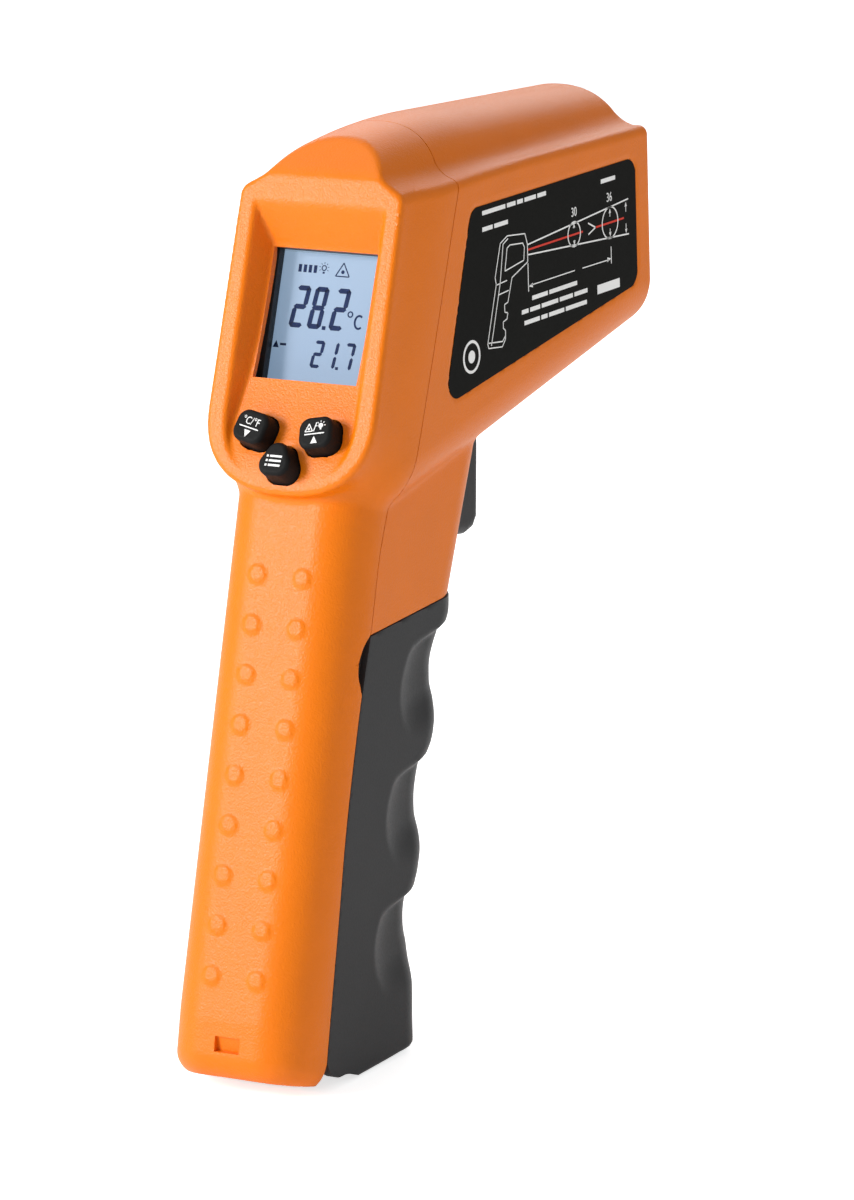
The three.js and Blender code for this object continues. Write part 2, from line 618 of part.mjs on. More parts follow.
function addTrigger() {
  addNode('trigger', trigger(), BLACK);
  addNode('trigger_pivot_pin', pivotPin(), STEEL);
  addNode('trigger_spring', triggerSpring(), STEEL);
  addNode('trigger_switch', triggerSwitch(), CHIP);
  addNode('switch_plunger', switchPlunger(), WHITE);
}

function addDisplay() {
  addNode('display_window', displayWindow(), CLEAR);
  addNode('lcd_frame', displayFrame(), BLACK);
  addNode('lcd_panel', lcdPanel(), LCD);
  addNode('backlight_diffuser', backlight(), WHITE);
  addNode('connector_strip', connectorStrip(), RUBBER);
  addNode('main_board', mainBoard(), BOARD);
  addNode('controller_chip', controllerChip(), CHIP);
  BOARD_SCREWS.forEach((at, i) => addNode(`board_screw_${i + 1}`, boardScrew(at), STEEL));
}

function addKeys() {
  BUTTONS.forEach((button) => {
    addNode(button.name, keyButton(button), RUBBER);
    addNode(button.name.replace('button', 'key_contact'), keyContact(button), STEEL);
  });
  addNode('keypad_web', keypadWeb(), RUBBER);
  addNode('keypad_board', keypadBoard(), BOARD);
}

function addBarrel() {
  addNode('nose_ring', noseRing(), BLACK);
  addNode('infrared_lens', infraredLens(), IR_GLASS);
  addNode('lens_tube', lensTube(), BLACK);
  addNode('infrared_sensor', infraredSensor(), STEEL);
  addNode('sensor_board', sensorBoard(), BOARD);
  addNode('laser_window', laserWindow(), RED_GLASS);
  addNode('laser_module', laserModule(), BRASS);
  addNode('laser_clip', laserClip(), BLACK);
  addNode('buzzer', buzzer(), BLACK);
}

function addPower() {
  addNode('battery_tray', batteryTray(), BLACK);
  [-1, 1].forEach((side, i) => {
    addNode(`battery_${i + 1}`, cell(side), CELL_SKIN);
    addNode(`battery_spring_${i + 1}`, cellSpring(side), STEEL);
    addNode(`battery_lead_${i + 1}`, lead(side * 6), side < 0 ? RED_GLASS : CHIP);
  });
  addNode('contact_bridge', contactBridge(), STEEL);
  SCREW_UP.forEach((up, i) => addNode(`case_screw_${i + 1}`, caseScrew(up), STEEL));
}

addCase();
addTrigger();
addDisplay();
addKeys();
addBarrel();
addPower();

export default thermometer;
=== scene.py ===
"""Looks of the pistol-grip infrared thermometer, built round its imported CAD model.

The moulded pieces are distance fields in millimetres, turned into meshes by dual contouring.
"""
import math

import bpy
import numpy as np
from mathutils import Matrix, Vector


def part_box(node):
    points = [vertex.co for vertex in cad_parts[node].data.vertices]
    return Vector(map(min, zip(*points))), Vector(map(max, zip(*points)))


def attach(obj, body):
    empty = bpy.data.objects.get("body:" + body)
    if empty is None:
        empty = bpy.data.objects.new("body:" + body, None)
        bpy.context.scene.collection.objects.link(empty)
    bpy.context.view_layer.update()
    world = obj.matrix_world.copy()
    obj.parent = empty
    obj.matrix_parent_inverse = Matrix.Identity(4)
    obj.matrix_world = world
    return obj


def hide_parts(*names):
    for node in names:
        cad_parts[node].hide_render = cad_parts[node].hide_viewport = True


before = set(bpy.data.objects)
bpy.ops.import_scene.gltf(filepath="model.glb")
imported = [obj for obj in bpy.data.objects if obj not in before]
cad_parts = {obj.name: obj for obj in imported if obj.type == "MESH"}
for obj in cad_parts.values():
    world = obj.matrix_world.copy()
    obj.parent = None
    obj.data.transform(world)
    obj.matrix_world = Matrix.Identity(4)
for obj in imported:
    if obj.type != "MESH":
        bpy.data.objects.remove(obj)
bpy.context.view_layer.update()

MM = 0.001
STEP = 0.5         # contouring cell of the shells
FINE = 0.2        # contouring cell of the keys

# ---- dimensions in millimetres, close to the CAD's --------------------------------------
WALL = 2.0
HEAD_HALF = 17.4
GRIP_HALF = 13.6
FACE_HALF = 16.5
NOSE_Y = 96.7
FACE_LEAN = 0.3225
FACE_FOOT_Z = 97.7
RIM_START = 14                            # height on the face above which its sides are straight
FACE_BLEND = 14                           # depth over which the face's outline turns into the barrel's
PAD_LEAN = 0.5464
PAD_AT = (4.3, 106.7)
GRIP_LEAN = 0.2733
GRIP_SLOPE = 0.2804                       # the grip's lean as a slope
DOT_TOP, DOT_PITCH, DOT_ROWS = 83.9, 8.12, 9
DOT_X, DOT_HIGH = 4.4, 0.25
DOOR_TOP = 74.6
DOOR_TOP_RISE = 0.06
HINGE = (-8.0, 4.9)
PIVOT = (47.5, 105.4)
PIN_HOLE = 1.65                           # radius of the bores for the cross pins
NOTCH_AT = (9.2, 67.3)                    # centre of the door's finger notch
HUMP_HALF, HUMP_HIGH, HUMP_POWER = 13.9, 13.8, 2.25
AXIS_Z = 128.5
LASER_Z = 145.8
NOSE_R = 12.3
WINDOW_HALF, WINDOW_LOW, WINDOW_HIGH = 10.2, 19.6, 42.0
LCD_DEPTH = 7.8
LABEL = ((25.5, 109.2), (91.9, 118.9), (91.9, 141.4), (35.7, 141.4))
LABEL_ROUND = 3.0
# heights and distances forward of the parting line, then of the front of the grip
SEAM_Z = (-4, 5, 17.8, 28.5, 40.2, 51.9, 64.3, 75.1, 87.8, 96, 146, 174)
SEAM_Y = (-14, -12.1, -9.3, -6.9, -4.4, -1.3, 2.4, 6, 9.7, 13.2, 32.04, 42.6)
DOOR_Z = (-4, 4.4, 7.5, 13, 17, 21.5, 29.6, 35.4, 42.4, 48, 50.5, 53.5, 57.5, 63.2,
          69, 71.5, 76)
DOOR_Y = (20.9, 20.7, 20.9, 21.1, 21.5, 20.7, 24.0, 25.5, 25.6, 28.0, 29.6, 30.7, 31.7, 31.8,
          35.0, 36.2, 36.7)
GROOVES = ((62.4, 14.2), (41.8, 8.4), (20.3, 3.4))    # height and rearmost y on the flank
TRIGGER = ((44.3, 103), (40.3, 93), (40.3, 88), (41.3, 83.6), (44.5, 81.8), (51.2, 81.0),
           (53.6, 81.6), (55.1, 83.5), (55.9, 96), (55.9, 101.4), (51.1, 107), (48.7, 108.6),
           (46.3, 108.6), (44.3, 106.6))
PRINT = 0.05                              # thickness of printed ink
PRINT_SUNK = -0.02                        # how far its lower side lies under the surface


# ---- distance fields --------------------------------------------------------------------
def cap(a, b, r=0.0):
    """Common part of two solids, its edge rounded."""
    inside = np.minimum(-r, np.maximum(a, b))
    return inside + np.hypot(np.maximum(a + r, 0), np.maximum(b + r, 0))


def weld(a, b, r=0.0):
    """Union of two solids, its crease filled."""
    outside = np.maximum(r, np.minimum(a, b))
    return outside - np.hypot(np.maximum(r - a, 0), np.maximum(r - b, 0))


def mix(a, b, t):
    return a + (b - a) * t


def ease(x, low, high):
    t = np.clip((x - low) / (high - low), 0, 1)
    return t * t * (3 - 2 * t)


def line_curve(t, knots, values):
    """Smooth curve through knots, and its slope."""
    k, v = np.asarray(knots, float), np.asarray(values, float)
    slopes = np.gradient(v, k)
    i = np.clip(np.searchsorted(k, t) - 1, 0, len(k) - 2)
    gap = k[i + 1] - k[i]
    s = np.clip((t - k[i]) / gap, 0, 1)
    rise = v[i + 1] - v[i]
    a, b = slopes[i] * gap - rise, rise - slopes[i + 1] * gap
    value = v[i] + rise * s + s * (1 - s) * (a * (1 - s) + b * s)
    slope = (rise + (1 - 2 * s) * (a * (1 - s) + b * s) + s * (1 - s) * (b - a)) / gap
    return value, slope


def face_axes(y, z):
    """Distance up the display face and out of it."""
    c, s = math.cos(FACE_LEAN), math.sin(FACE_LEAN)
    return s * y + c * (z - FACE_FOOT_Z), s * (z - FACE_FOOT_Z) - c * y


def pad_axes(y, z):
    c, s = math.cos(PAD_LEAN), math.sin(PAD_LEAN)
    return s * (y - PAD_AT[0]) + c * (z - PAD_AT[1]), s * (z - PAD_AT[1]) - c * (y - PAD_AT[0])


def face_rim(ax, v, half, drop):
    """Outline with straight sides and a full, rounded lower end."""
    power, reach = 2.4, RIM_START - drop
    across = np.maximum(ax / half, 1e-3)
    down = np.minimum(np.minimum(v - RIM_START, 0) / reach, -1e-6)
    e = (across ** power + (-down) ** power) ** (1 / power)
    slope = np.hypot((across / e) ** (power - 1) / half, (-down / e) ** (power - 1) / reach)
    return (e - 1) / slope


def inset_corners(corners, radius):
    """Centre of each rounded corner of an outline, with the normals of its two edges."""
    found, count = [], len(corners)
    for i in range(count):
        p, q, r = (np.array(corners[(i + k) % count], float) for k in (-1, 0, 1))
        n1 = np.array([q[1] - p[1], p[0] - q[0]]) / np.linalg.norm(q - p)
        n2 = np.array([r[1] - q[1], q[0] - r[0]]) / np.linalg.norm(r - q)
        found.append((q - (n1 + n2) * radius / (1 + n1 @ n2), n1, n2))
    return found


def rounded_polygon(y, z, corners, radius):
    """Distance to a convex counter-clockwise outline with rounded corners."""
    inset = [centre for centre, _, _ in inset_corners(corners, radius)]
    distance = np.inf
    sign = np.full(np.broadcast(y, z).shape, -1.0)
    for p, q in zip(inset, inset[1:] + inset[:1]):
        e = q - p
        t = np.clip(((y - p[0]) * e[0] + (z - p[1]) * e[1]) / (e @ e), 0, 1)
        near = np.hypot(y - p[0] - t * e[0], z - p[1] - t * e[1])
        distance = np.minimum(distance, near)
        sign = np.where((y - p[0]) * e[1] - (z - p[1]) * e[0] > 0, 1.0, sign)
    return distance * sign - radius


def behind_seam(y, z):
    """Below zero on the rear cover's side of the parting line."""
    at, slope = line_curve(z, SEAM_Z, SEAM_Y)
    return (y - at) / np.hypot(1, slope)


def above_door(y, z):
    """Height above the slanted line between the door and the housing."""
    return z - DOOR_TOP - DOOR_TOP_RISE * (y - 20)


def head_form(ax, y, z):
    """Head without the grip: face, barrel, shoulders and the hump on top."""
    v, out = face_axes(y, z)
    depth = -out
    widened = ease(depth, 0, FACE_BLEND)
    half = FACE_HALF + (HEAD_HALF - FACE_HALF) * widened
    under = (98.95 + 0.206 * (y - 41.2) - z) * 0.98
    barrel = cap(ax - half, under, 9)
    top_half = half - 0.5 * np.clip((v - RIM_START) / 38.7, 0, 1) * (1 - widened)
    lower = mix(face_rim(ax, v, top_half, 0), barrel, ease(depth, 2.5, FACE_BLEND))
    shoulder = z - (147.4 - 0.01875 * (y - 32))
    body = cap(lower, shoulder, 1.6)
    corner = (ax - 13.3) * 0.5 + (v - 52.7) * 0.866 - 0.34 * np.maximum(depth, 0)
    body = cap(body, corner, 1.2)
    crest = 155.5 - 0.055 * (y - 44) - 0.0034 * np.maximum(49 - y, 0) ** 2
    rise = np.maximum(z - crest + HUMP_HIGH, 0)
    oval = (ax / HUMP_HALF) ** HUMP_POWER + (rise / HUMP_HIGH) ** HUMP_POWER
    hump = oval ** (1 / HUMP_POWER) * HUMP_HIGH - HUMP_HIGH
    facet = (1.25 * (z - 148.8) - (y - 16.75)) / 1.6008
    hump = np.maximum(cap(hump, facet, 0.5), 141 - z)
    body = weld(body, hump, 2.4)
    return cap(body, y - NOSE_Y, 0.8)


def grip_form(ax, y, z):
    """Grip before it is split, its back drawn in a little at the foot."""
    tuck = 0.07 * np.maximum(12 - z, 0)
    back = (-24.5 + 0.2835 * z + tuck - y) * math.cos(GRIP_LEAN)
    front = (y - 36.4 - 0.4186 * (z - DOOR_TOP)) * 0.922
    return cap(cap(cap(ax - GRIP_HALF, back, 8.6), front, 8), z - 108, 2)


def case_form(x, y, z):
    """Outer surface of the two orange halves together."""
    ax = np.abs(x)
    _, out = face_axes(y, z)
    depth = -out
    crease = mix(1.2, 0.9, ease(depth, 8.5, 14.5))
    form = weld(head_form(ax, y, z), grip_form(ax, y, z), crease)
    return cap(form, out, 0.9)


def well_form(ax, y, z):
    """Sunken panel with the display window and the keys."""
    v, out = face_axes(y, z)
    depth = -out
    side = face_rim(ax, v, 12.8 - 0.585 * depth, 1.6) * 0.863
    top = (v - 49 + 1.68 * depth) * 0.511
    floor = depth - 3.44 - (v - WINDOW_LOW) * 0.0295
    panel = (depth - 0.2248 * (v - 4.6)) * 0.976
    return cap(cap(side, top, 0.4), cap(floor, panel, 2.0), 0.35)


def window_form(ax, y, z):
    v, out = face_axes(y, z)
    middle = (WINDOW_LOW + WINDOW_HIGH) / 2
    hole = cap(ax - WINDOW_HALF, np.abs(v - middle) - (WINDOW_HIGH - WINDOW_LOW) / 2)
    return cap(hole, -out - 9)


KEYS = {
    "button_left": ((-6.36, 0.3), -0.2),
    "button_right": ((6.36, 0.3), 0.2),
    "button_mode": ((0.0, -4.9), 0.0),
}
KEY_HALF = (3.3, 2.95)
KEY_TRIANGLE = ((-4.6, -3.1), (4.6, -3.1), (0, 5.6))
KEY_HIGH, KEY_CROWN = 3.45, 0.006


def key_outline(name, x, v, grow=0.0):
    (cx, cv), turn = KEYS[name]
    if name == "button_mode":
        corners = [(cx + a, cv + b) for a, b in KEY_TRIANGLE]
        return rounded_polygon(x, v, corners, 2.2) - grow
    c, s = math.cos(turn), math.sin(turn)
    a, b = c * (x - cx) + s * (v - cv), c * (v - cv) - s * (x - cx)
    return cap(np.abs(a) - KEY_HALF[0], np.abs(b) - KEY_HALF[1], 2.1) - grow


def key_top(name, x, v):
    """Height of a key's slightly crowned top above the panel."""
    (cx, cv), _ = KEYS[name]
    return KEY_HIGH - KEY_CROWN * ((x - cx) ** 2 + (v - cv) ** 2)


def key_form(name):
    def field(x, y, z):
        v, out = pad_axes(y, z)
        taper = 0.06 * out
        top = out - key_top(name, x, v)
        return cap(cap(key_outline(name, x, v) + taper, top, 0.65), -out - 5.6)
    return field


def pin_hole(at, ax, y, z, reach):
    """Bore for a cross pin, as long as reach to either side of the middle."""
    return cap(np.hypot(y - at[0], z - at[1]) - PIN_HOLE, ax - reach)


def knuckle_form(ax, y, z):
    """Hinge barrel at the foot and the tongues that carry it."""
    barrel = cap(np.hypot(y - HINGE[0], z - HINGE[1]) - 2.4, ax - 8.2)
    tongue = cap(np.abs(ax - 5.9) - 2.3, cap(np.abs(y + 14.2) - 5.7, np.abs(z - 4.2) - 1.7))
    return np.minimum(barrel, tongue)


def boss_form(x, y, z, up):
    """Distance from the axis of a screw boss up the grip's back, and depth along it."""
    c, s = math.cos(GRIP_LEAN), math.sin(GRIP_LEAN)
    along = s * (y + 2) + c * z - up
    backwards = s * z - c * (y + 2)
    return np.hypot(x, along), backwards


def dot_relief(ax, y, z):
    """Height of the low round dots, two columns of them, on the grip's back."""
    c, s = math.cos(GRIP_LEAN), math.sin(GRIP_LEAN)
    row = np.round((DOT_TOP - z) / DOT_PITCH)
    row_z = DOT_TOP - DOT_PITCH * np.clip(row, 0, DOT_ROWS - 1)
    along = c * z + s * (y + 24)
    dot_at = c * row_z + s * GRIP_SLOPE * row_z
    radial = np.hypot(ax - DOT_X, along - dot_at)
    return DOT_HIGH * ease(-radial, -1.85, -1.3) * (y < 10)


def above_foot(form, y, z):
    """A form cut off at the underside, which slants up towards the back."""
    slant = -0.336 * (y + 14.5) - 0.942 * z
    return cap(cap(form, -0.8 - z, 0.8), slant - 0.4, 3.8)


def rear_cover_form(x, y, z):
    ax = np.abs(x)
    form = case_form(x, y, z)
    outer = above_foot(form - dot_relief(ax, y, z), y, z)
    inner = above_foot(form, y, z) + WALL
    body = np.maximum(outer, -inner)
    well = well_form(ax, y, z)
    body = np.minimum(body, np.maximum(outer, well - 1.4))
    body = np.minimum(body, knuckle_form(ax, y, z))
    for up in (9.2, 68.4):
        radial, backwards = boss_form(x, y, z, up)
        body = np.minimum(body, np.maximum(cap(radial - 3, 12.7 - backwards), outer))
        body = np.maximum(body, -cap(radial - 1.5, backwards - 18.4))
    body = cap(body, -well, 0.5)
    body = np.maximum(body, -window_form(ax, y, z))
    v, out = pad_axes(y, z)
    for name in KEYS:
        body = np.maximum(body, -cap(key_outline(name, x, v, 0.3), np.abs(out) - 8))
    body = cap(body, behind_seam(y, z) + 0.09, 1.3 * ease(-z, -5, -1) + 0.02)
    notch = cap(np.hypot(y - NOTCH_AT[0], z - NOTCH_AT[1]) - 7.4, 10.4 - ax, 0.3)
    body = cap(body, -notch, 0.25)
    slot = cap(cap(np.abs(z - 8.1) - 1.3, ax - 2.45), y + 21.1)
    relief = cap(cap(ax - 3, z - 2.6), cap(y + 15, -20.6 - y))
    for hole in (slot, relief, pin_hole(HINGE, ax, y, z, 20)):
        body = np.maximum(body, -hole)
    return body


def label_seat(y, z):
    return rounded_polygon(y, z, LABEL, LABEL_ROUND)


def front_housing_form(x, y, z):
    ax = np.abs(x)
    form = case_form(x, y, z)
    body = np.maximum(form, -(form + WALL))
    bosses = cap(np.hypot(y - PIVOT[0], z - PIVOT[1]) - 3.2, cap(8.4 - ax, form))
    body = np.minimum(body, bosses)
    body = np.maximum(body, -(behind_seam(y, z) - 0.09))
    body = np.maximum(body, 0.12 - above_door(y, z))
    slot = cap(cap(ax - 6.6, z - 103.2), cap(36 - y, y - 57.6))
    body = cap(body, -slot, 0.4)
    radial = np.hypot(ax, z - AXIS_Z)
    nose = cap(radial - NOSE_R - 0.15, 85 - y)
    laser = cap(np.hypot(ax, z - LASER_Z) - 3.25, 85 - y)
    body = cap(cap(body, -nose, 0.4), -laser, 0.3)
    seat = cap(label_seat(y, z), 17.12 - ax)
    return np.maximum(np.maximum(body, -seat), -pin_hole(PIVOT, ax, y, z, 15))


def scoop(y, z):
    """How far the finger grooves draw in the door's flanks."""
    depth = 0.0
    for height, back_y in GROOVES:
        edge = np.maximum(y - back_y - 0.055 * (z - height + 2) ** 2, 0)
        ledge = z - 0.12 * (y - 24)
        fade = ease(ledge, height - 9.5, height - 2) * (1 - ease(ledge, height + 6.2, height + 7.8))
        bite = edge ** 2 / (edge + 1.2)
        depth = np.maximum(depth, fade * 1.4 * (1 - np.exp(-bite / 3.6)))
    return depth


def door_surface(ax, y, z):
    """Outside of the grooved front half of the grip."""
    at, slope = line_curve(z, DOOR_Z, DOOR_Y)
    front = (y - at) / np.hypot(1, slope)
    return cap(ax - GRIP_HALF + scoop(y, z), front, 7.6)


def door_form(x, y, z):
    ax = np.abs(x)
    form = door_surface(ax, y, z)
    form = cap(form, -1.1 + 0.035 * (y + 6) - z, 1.0)
    form = cap(form, (y - 20.6 - 0.75 * (z - 1.5)) * 0.8, 3)
    hollow_front = (y - 17.6 - 0.2 * z) * 0.97
    hollow_back = (-22 + GRIP_SLOPE * z - y) * math.cos(GRIP_LEAN)
    hollow = np.maximum(form + 1.8, np.maximum(hollow_front, hollow_back))
    body = np.maximum(form, -hollow)
    seam = behind_seam(y, z) - 0.1
    body = cap(body, -seam, 0.25)
    heel = np.hypot(y - HINGE[0], z - HINGE[1])
    toe = np.hypot(np.minimum(y - HINGE[0], 0), z - HINGE[1])
    keep = np.minimum(toe - 4.25 - 1.75 * ease(y, -7, 0), HINGE[1] + 2.6 - z)
    body = np.maximum(body, keep)
    hub = cap(heel - 3.4, ax - 13)
    body = np.minimum(body, hub)
    middle = cap(ax - 8.6, cap(y + 4.4, z - 9))
    body = np.maximum(body, -middle)
    body = np.maximum(body, -pin_hole(HINGE, ax, y, z, 13.1))
    disc = np.hypot(y - NOTCH_AT[0], z - NOTCH_AT[1]) - 7.1
    tab = cap(cap(disc, np.abs(ax - 11.5) - 0.9, 0.3), y - 9)
    body = np.minimum(body, tab)
    return cap(body, above_door(y, z) + 0.12, 0.3)


def trigger_form(x, y, z):
    ax = np.abs(x)
    body = cap(rounded_polygon(y, z, TRIGGER, 0.8), ax - 6, 2.2)
    return np.maximum(body, -pin_hole(PIVOT, ax, y, z, 10))


# ---- contouring -------------------------------------------------------------------------
def crossings(field, grids, values, axis):
    """Where the surface crosses the grid lines along one axis."""
    ahead = [slice(None)] * 3
    behind = [slice(None)] * 3
    ahead[axis], behind[axis] = slice(1, None), slice(None, -1)
    a, b = values[tuple(behind)], values[tuple(ahead)]
    index = np.nonzero((a < 0) != (b < 0))
    fa, fb = a[index].astype(float), b[index].astype(float)
    base = np.stack([grids[k][index[k]] for k in range(3)], 1)
    step = grids[axis][1] - grids[axis][0]
    low, high = np.zeros(len(fa)), np.ones(len(fa))
    flow, fhigh = fa.copy(), fb.copy()
    for _ in range(3):
        at = low + (high - low) * np.clip(flow / (flow - fhigh), 0.02, 0.98)
        p = base.copy()
        p[:, axis] += at * step
        f = field(p[:, 0], p[:, 1], p[:, 2])
        same = (f < 0) == (flow < 0)
        low, flow = np.where(same, at, low), np.where(same, f, flow)
        high, fhigh = np.where(same, high, at), np.where(same, fhigh, f)
    at = low + (high - low) * np.clip(flow / (flow - fhigh), 0, 1)
    base[:, axis] += at * step
    return index, base, fa < 0


def field_normals(field, points, eps=0.01):
    n = np.empty_like(points)
    for k in range(3):
        d = np.zeros(3)
        d[k] = eps
        n[:, k] = field(*(points + d).T) - field(*(points - d).T)
    return n / (np.linalg.norm(n, axis=1, keepdims=True) + 1e-12)


def contour(field, low, high, step, mirrored=True):
    """Vertices and quads of the surface where field is zero, sharp edges kept."""
    grids = []
    for k in range(3):
        if k == 0 and mirrored:
            n = int(math.ceil(high[0] / step)) + 1
            grids.append((np.arange(-n, n) + 0.5) * step)
        else:
            n = int(math.ceil((high[k] - low[k]) / step)) + 2
            grids.append(low[k] - step * 0.517 + np.arange(n) * step)
    gx, gy, gz = grids
    xs = gx[len(gx) // 2:] if mirrored else gx
    values = np.concatenate([
        np.broadcast_to(field(part[:, None, None], gy[None, :, None], gz[None, None, :]),
                        (len(part), len(gy), len(gz))).astype(np.float32)
        for part in np.array_split(xs, max(1, len(xs) // 8))])
    if mirrored:
        values = np.concatenate([values[::-1], values])
    shape = np.array(values.shape)
    cells, points, flips = [], [], []
    for axis in range(3):
        index, at, inside = crossings(field, grids, values, axis)
        u, w = [(1, 2), (2, 0), (0, 1)][axis]
        around = []
        for du, dw in ((-1, -1), (0, -1), (0, 0), (-1, 0)):
            c = [index[0].copy(), index[1].copy(), index[2].copy()]
            c[u] += du
            c[w] += dw
            around.append((c[0] * shape[1] + c[1]) * shape[2] + c[2])
        cells.append(np.stack(around, 1))
        points.append(at)
        flips.append(~inside)
    cells, points, flips = np.concatenate(cells), np.concatenate(points), np.concatenate(flips)
    normals = field_normals(field, points)
    used, corner = np.unique(cells, return_inverse=True)
    corner = corner.reshape(cells.shape)
    count = len(used)

    def gather(values_per_edge):
        weights = np.repeat(values_per_edge, 4)
        return np.bincount(corner.ravel(), weights=weights, minlength=count)

    many = gather(np.ones(len(points)))
    middle = np.stack([gather(points[:, k]) for k in range(3)], 1) / many[:, None]
    reach = np.einsum("ij,ij->i", normals, points)
    matrix = np.empty((count, 3, 3))
    rhs = np.empty((count, 3))
    for i in range(3):
        rhs[:, i] = gather(normals[:, i] * reach)
        for j in range(i, 3):
            matrix[:, i, j] = matrix[:, j, i] = gather(normals[:, i] * normals[:, j])
    rhs -= np.einsum("nij,nj->ni", matrix, middle)
    size, axes = np.linalg.eigh(matrix)
    strong = size > 0.08 * size[:, 2:3]
    inverse = np.where(strong, 1 / np.where(strong, size, 1), 0)
    move = np.einsum("nij,nj->ni", axes, inverse * np.einsum("nji,nj->ni", axes, rhs))
    spot = middle + move
    cell = np.stack(np.unravel_index(used, shape), 1)
    floor = np.stack([grids[k][cell[:, k]] for k in range(3)], 1)
    spot = np.clip(spot, floor, floor + step)
    quads = np.where(flips[:, None], corner[:, ::-1], corner)
    return spot, quads


def new_object(name, mesh, material, body):
    ob = bpy.data.objects.new(name, mesh)
    bpy.context.scene.collection.objects.link(ob)
    mesh.materials.clear()
    mesh.materials.append(material)
    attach(ob, body)
    return ob


def mesh_of(name, points, faces, sharp=38):
    """Mesh in metres from points in millimetres and faces of one size."""
    mesh = bpy.data.meshes.new(name)
    faces = np.asarray(faces, np.int32)
    mesh.vertices.add(len(points))
    mesh.vertices.foreach_set("co", (np.asarray(points) * MM).astype(np.float32).ravel())
    mesh.loops.add(faces.size)
    mesh.loops.foreach_set("vertex_index", faces.ravel())
    mesh.polygons.add(len(faces))
    mesh.polygons.foreach_set("loop_start", np.arange(0, faces.size, faces.shape[1], dtype=np.int32))
    mesh.update(calc_edges=True)
    mesh.validate()
    mesh.shade_smooth()
    mesh.set_sharp_from_angle(angle=math.radians(sharp))
    return mesh


def moulded(name, field, low, high, material, body, step=STEP, mirrored=True):
    """Piece whose surface is where a distance field is zero, inside the box low to high."""
    points, quads = contour(field, low, high, step, mirrored)
    return new_object(name, mesh_of(name, points, quads), material, body)


# ---- placed meshes ----------------------------------------------------------------------
def turned(name, profile, y0, z0, material, body, sides=96):
    """Turned piece about the aim axis: profile of (radius, distance forward)."""
    turns = np.linspace(0, 2 * math.pi, sides, endpoint=False)
    points, faces = [], []
    for r, h in profile:
        points += [(r * math.cos(t), y0 + h, z0 + r * math.sin(t)) for t in turns]
    rows = len(profile)
    for i in range(rows):
        for j in range(sides):
            a, b = i * sides + j, i * sides + (j + 1) % sides
            c, d = ((i + 1) % rows) * sides + (j + 1) % sides, ((i + 1) % rows) * sides + j
            faces.append((a, b, c, d))
    mesh = mesh_of(name, np.array(points), faces, sharp=30)
    return new_object(name, mesh, material, body)


class Print:
    """Thin raised print, gathered from convex outlines in (u, v) and from lettering."""

    def __init__(self, place, thickness=PRINT):
        self.place, self.thickness = place, thickness
        self.points, self.faces = [], []

    def shape(self, outline):
        outline = list(outline)
        area = sum(a[0] * b[1] - b[0] * a[1] for a, b in zip(outline, outline[1:] + outline[:1]))
        if area < 0:
            outline.reverse()
        n, base = len(outline), len(self.points)
        for w in (PRINT_SUNK, self.thickness):
            self.points += [self.place(u, v, w) for u, v in outline]
        self.faces.append([base + n + i for i in range(n)])
        self.faces.append([base + i for i in reversed(range(n))])
        for i in range(n):
            j = (i + 1) % n
            self.faces.append([base + i, base + j, base + n + j, base + n + i])
        return self

    def shapes(self, outlines):
        for outline in outlines:
            self.shape(outline)
        return self

    def text(self, words, size, u, v, squeeze=1.0, side=1):
        """Numerals in Blender's own font, centred on (u, v)."""
        curve = bpy.data.curves.new("glyphs", "FONT")
        curve.body, curve.size, curve.resolution_u = words, size, 3
        curve.align_x, curve.align_y = "CENTER", "CENTER"
        curve.extrude = 0.5
        holder = bpy.data.objects.new("glyphs", curve)
        bpy.context.scene.collection.objects.link(holder)
        graph = bpy.context.evaluated_depsgraph_get()
        mesh = bpy.data.meshes.new_from_object(holder.evaluated_get(graph))
        bpy.data.objects.remove(holder)
        base = len(self.points)
        for vert in mesh.vertices:
            w = self.thickness if vert.co.z > 0 else PRINT_SUNK
            self.points.append(self.place(u + side * vert.co.x * squeeze, v + vert.co.y, w))
        for face in mesh.polygons:
            ids = [base + i for i in face.vertices]
            self.faces.append(ids if side > 0 else ids[::-1])
        bpy.data.meshes.remove(mesh)
        return self

    def finish(self, name, material, body, slot, mirrored=False):
        """Make the object; a mirrored place turns its faces round."""
        mesh = bpy.data.meshes.new(name)
        faces = [f[::-1] for f in self.faces] if mirrored else self.faces
        mesh.from_pydata([tuple(c * MM for c in p) for p in self.points], [], faces)
        mesh.update()
        return new_object(name, mesh, material, body)


def on_face(u, v, w):
    c, s = math.cos(FACE_LEAN), math.sin(FACE_LEAN)
    return (u, s * v - c * w, FACE_FOOT_Z + c * v + s * w)


def on_pad(u, v, w):
    c, s = math.cos(PAD_LEAN), math.sin(PAD_LEAN)
    return (u, PAD_AT[0] + s * v - c * w, PAD_AT[1] + c * v + s * w)


def stroke(p, q, width):
    """Four corners of a straight line of a width."""
    (a, b), (c, d) = p, q
    length = math.hypot(c - a, d - b)
    n = ((b - d) / length * width / 2, (c - a) / length * width / 2)
    return [(a - n[0], b - n[1]), (c - n[0], d - n[1]), (c + n[0], d + n[1]), (a + n[0], b + n[1])]


def path_strokes(points, width, closed=False):
    ends = list(points) + ([points[0]] if closed else [])
    return [stroke(p, q, width) for p, q in zip(ends, ends[1:])]


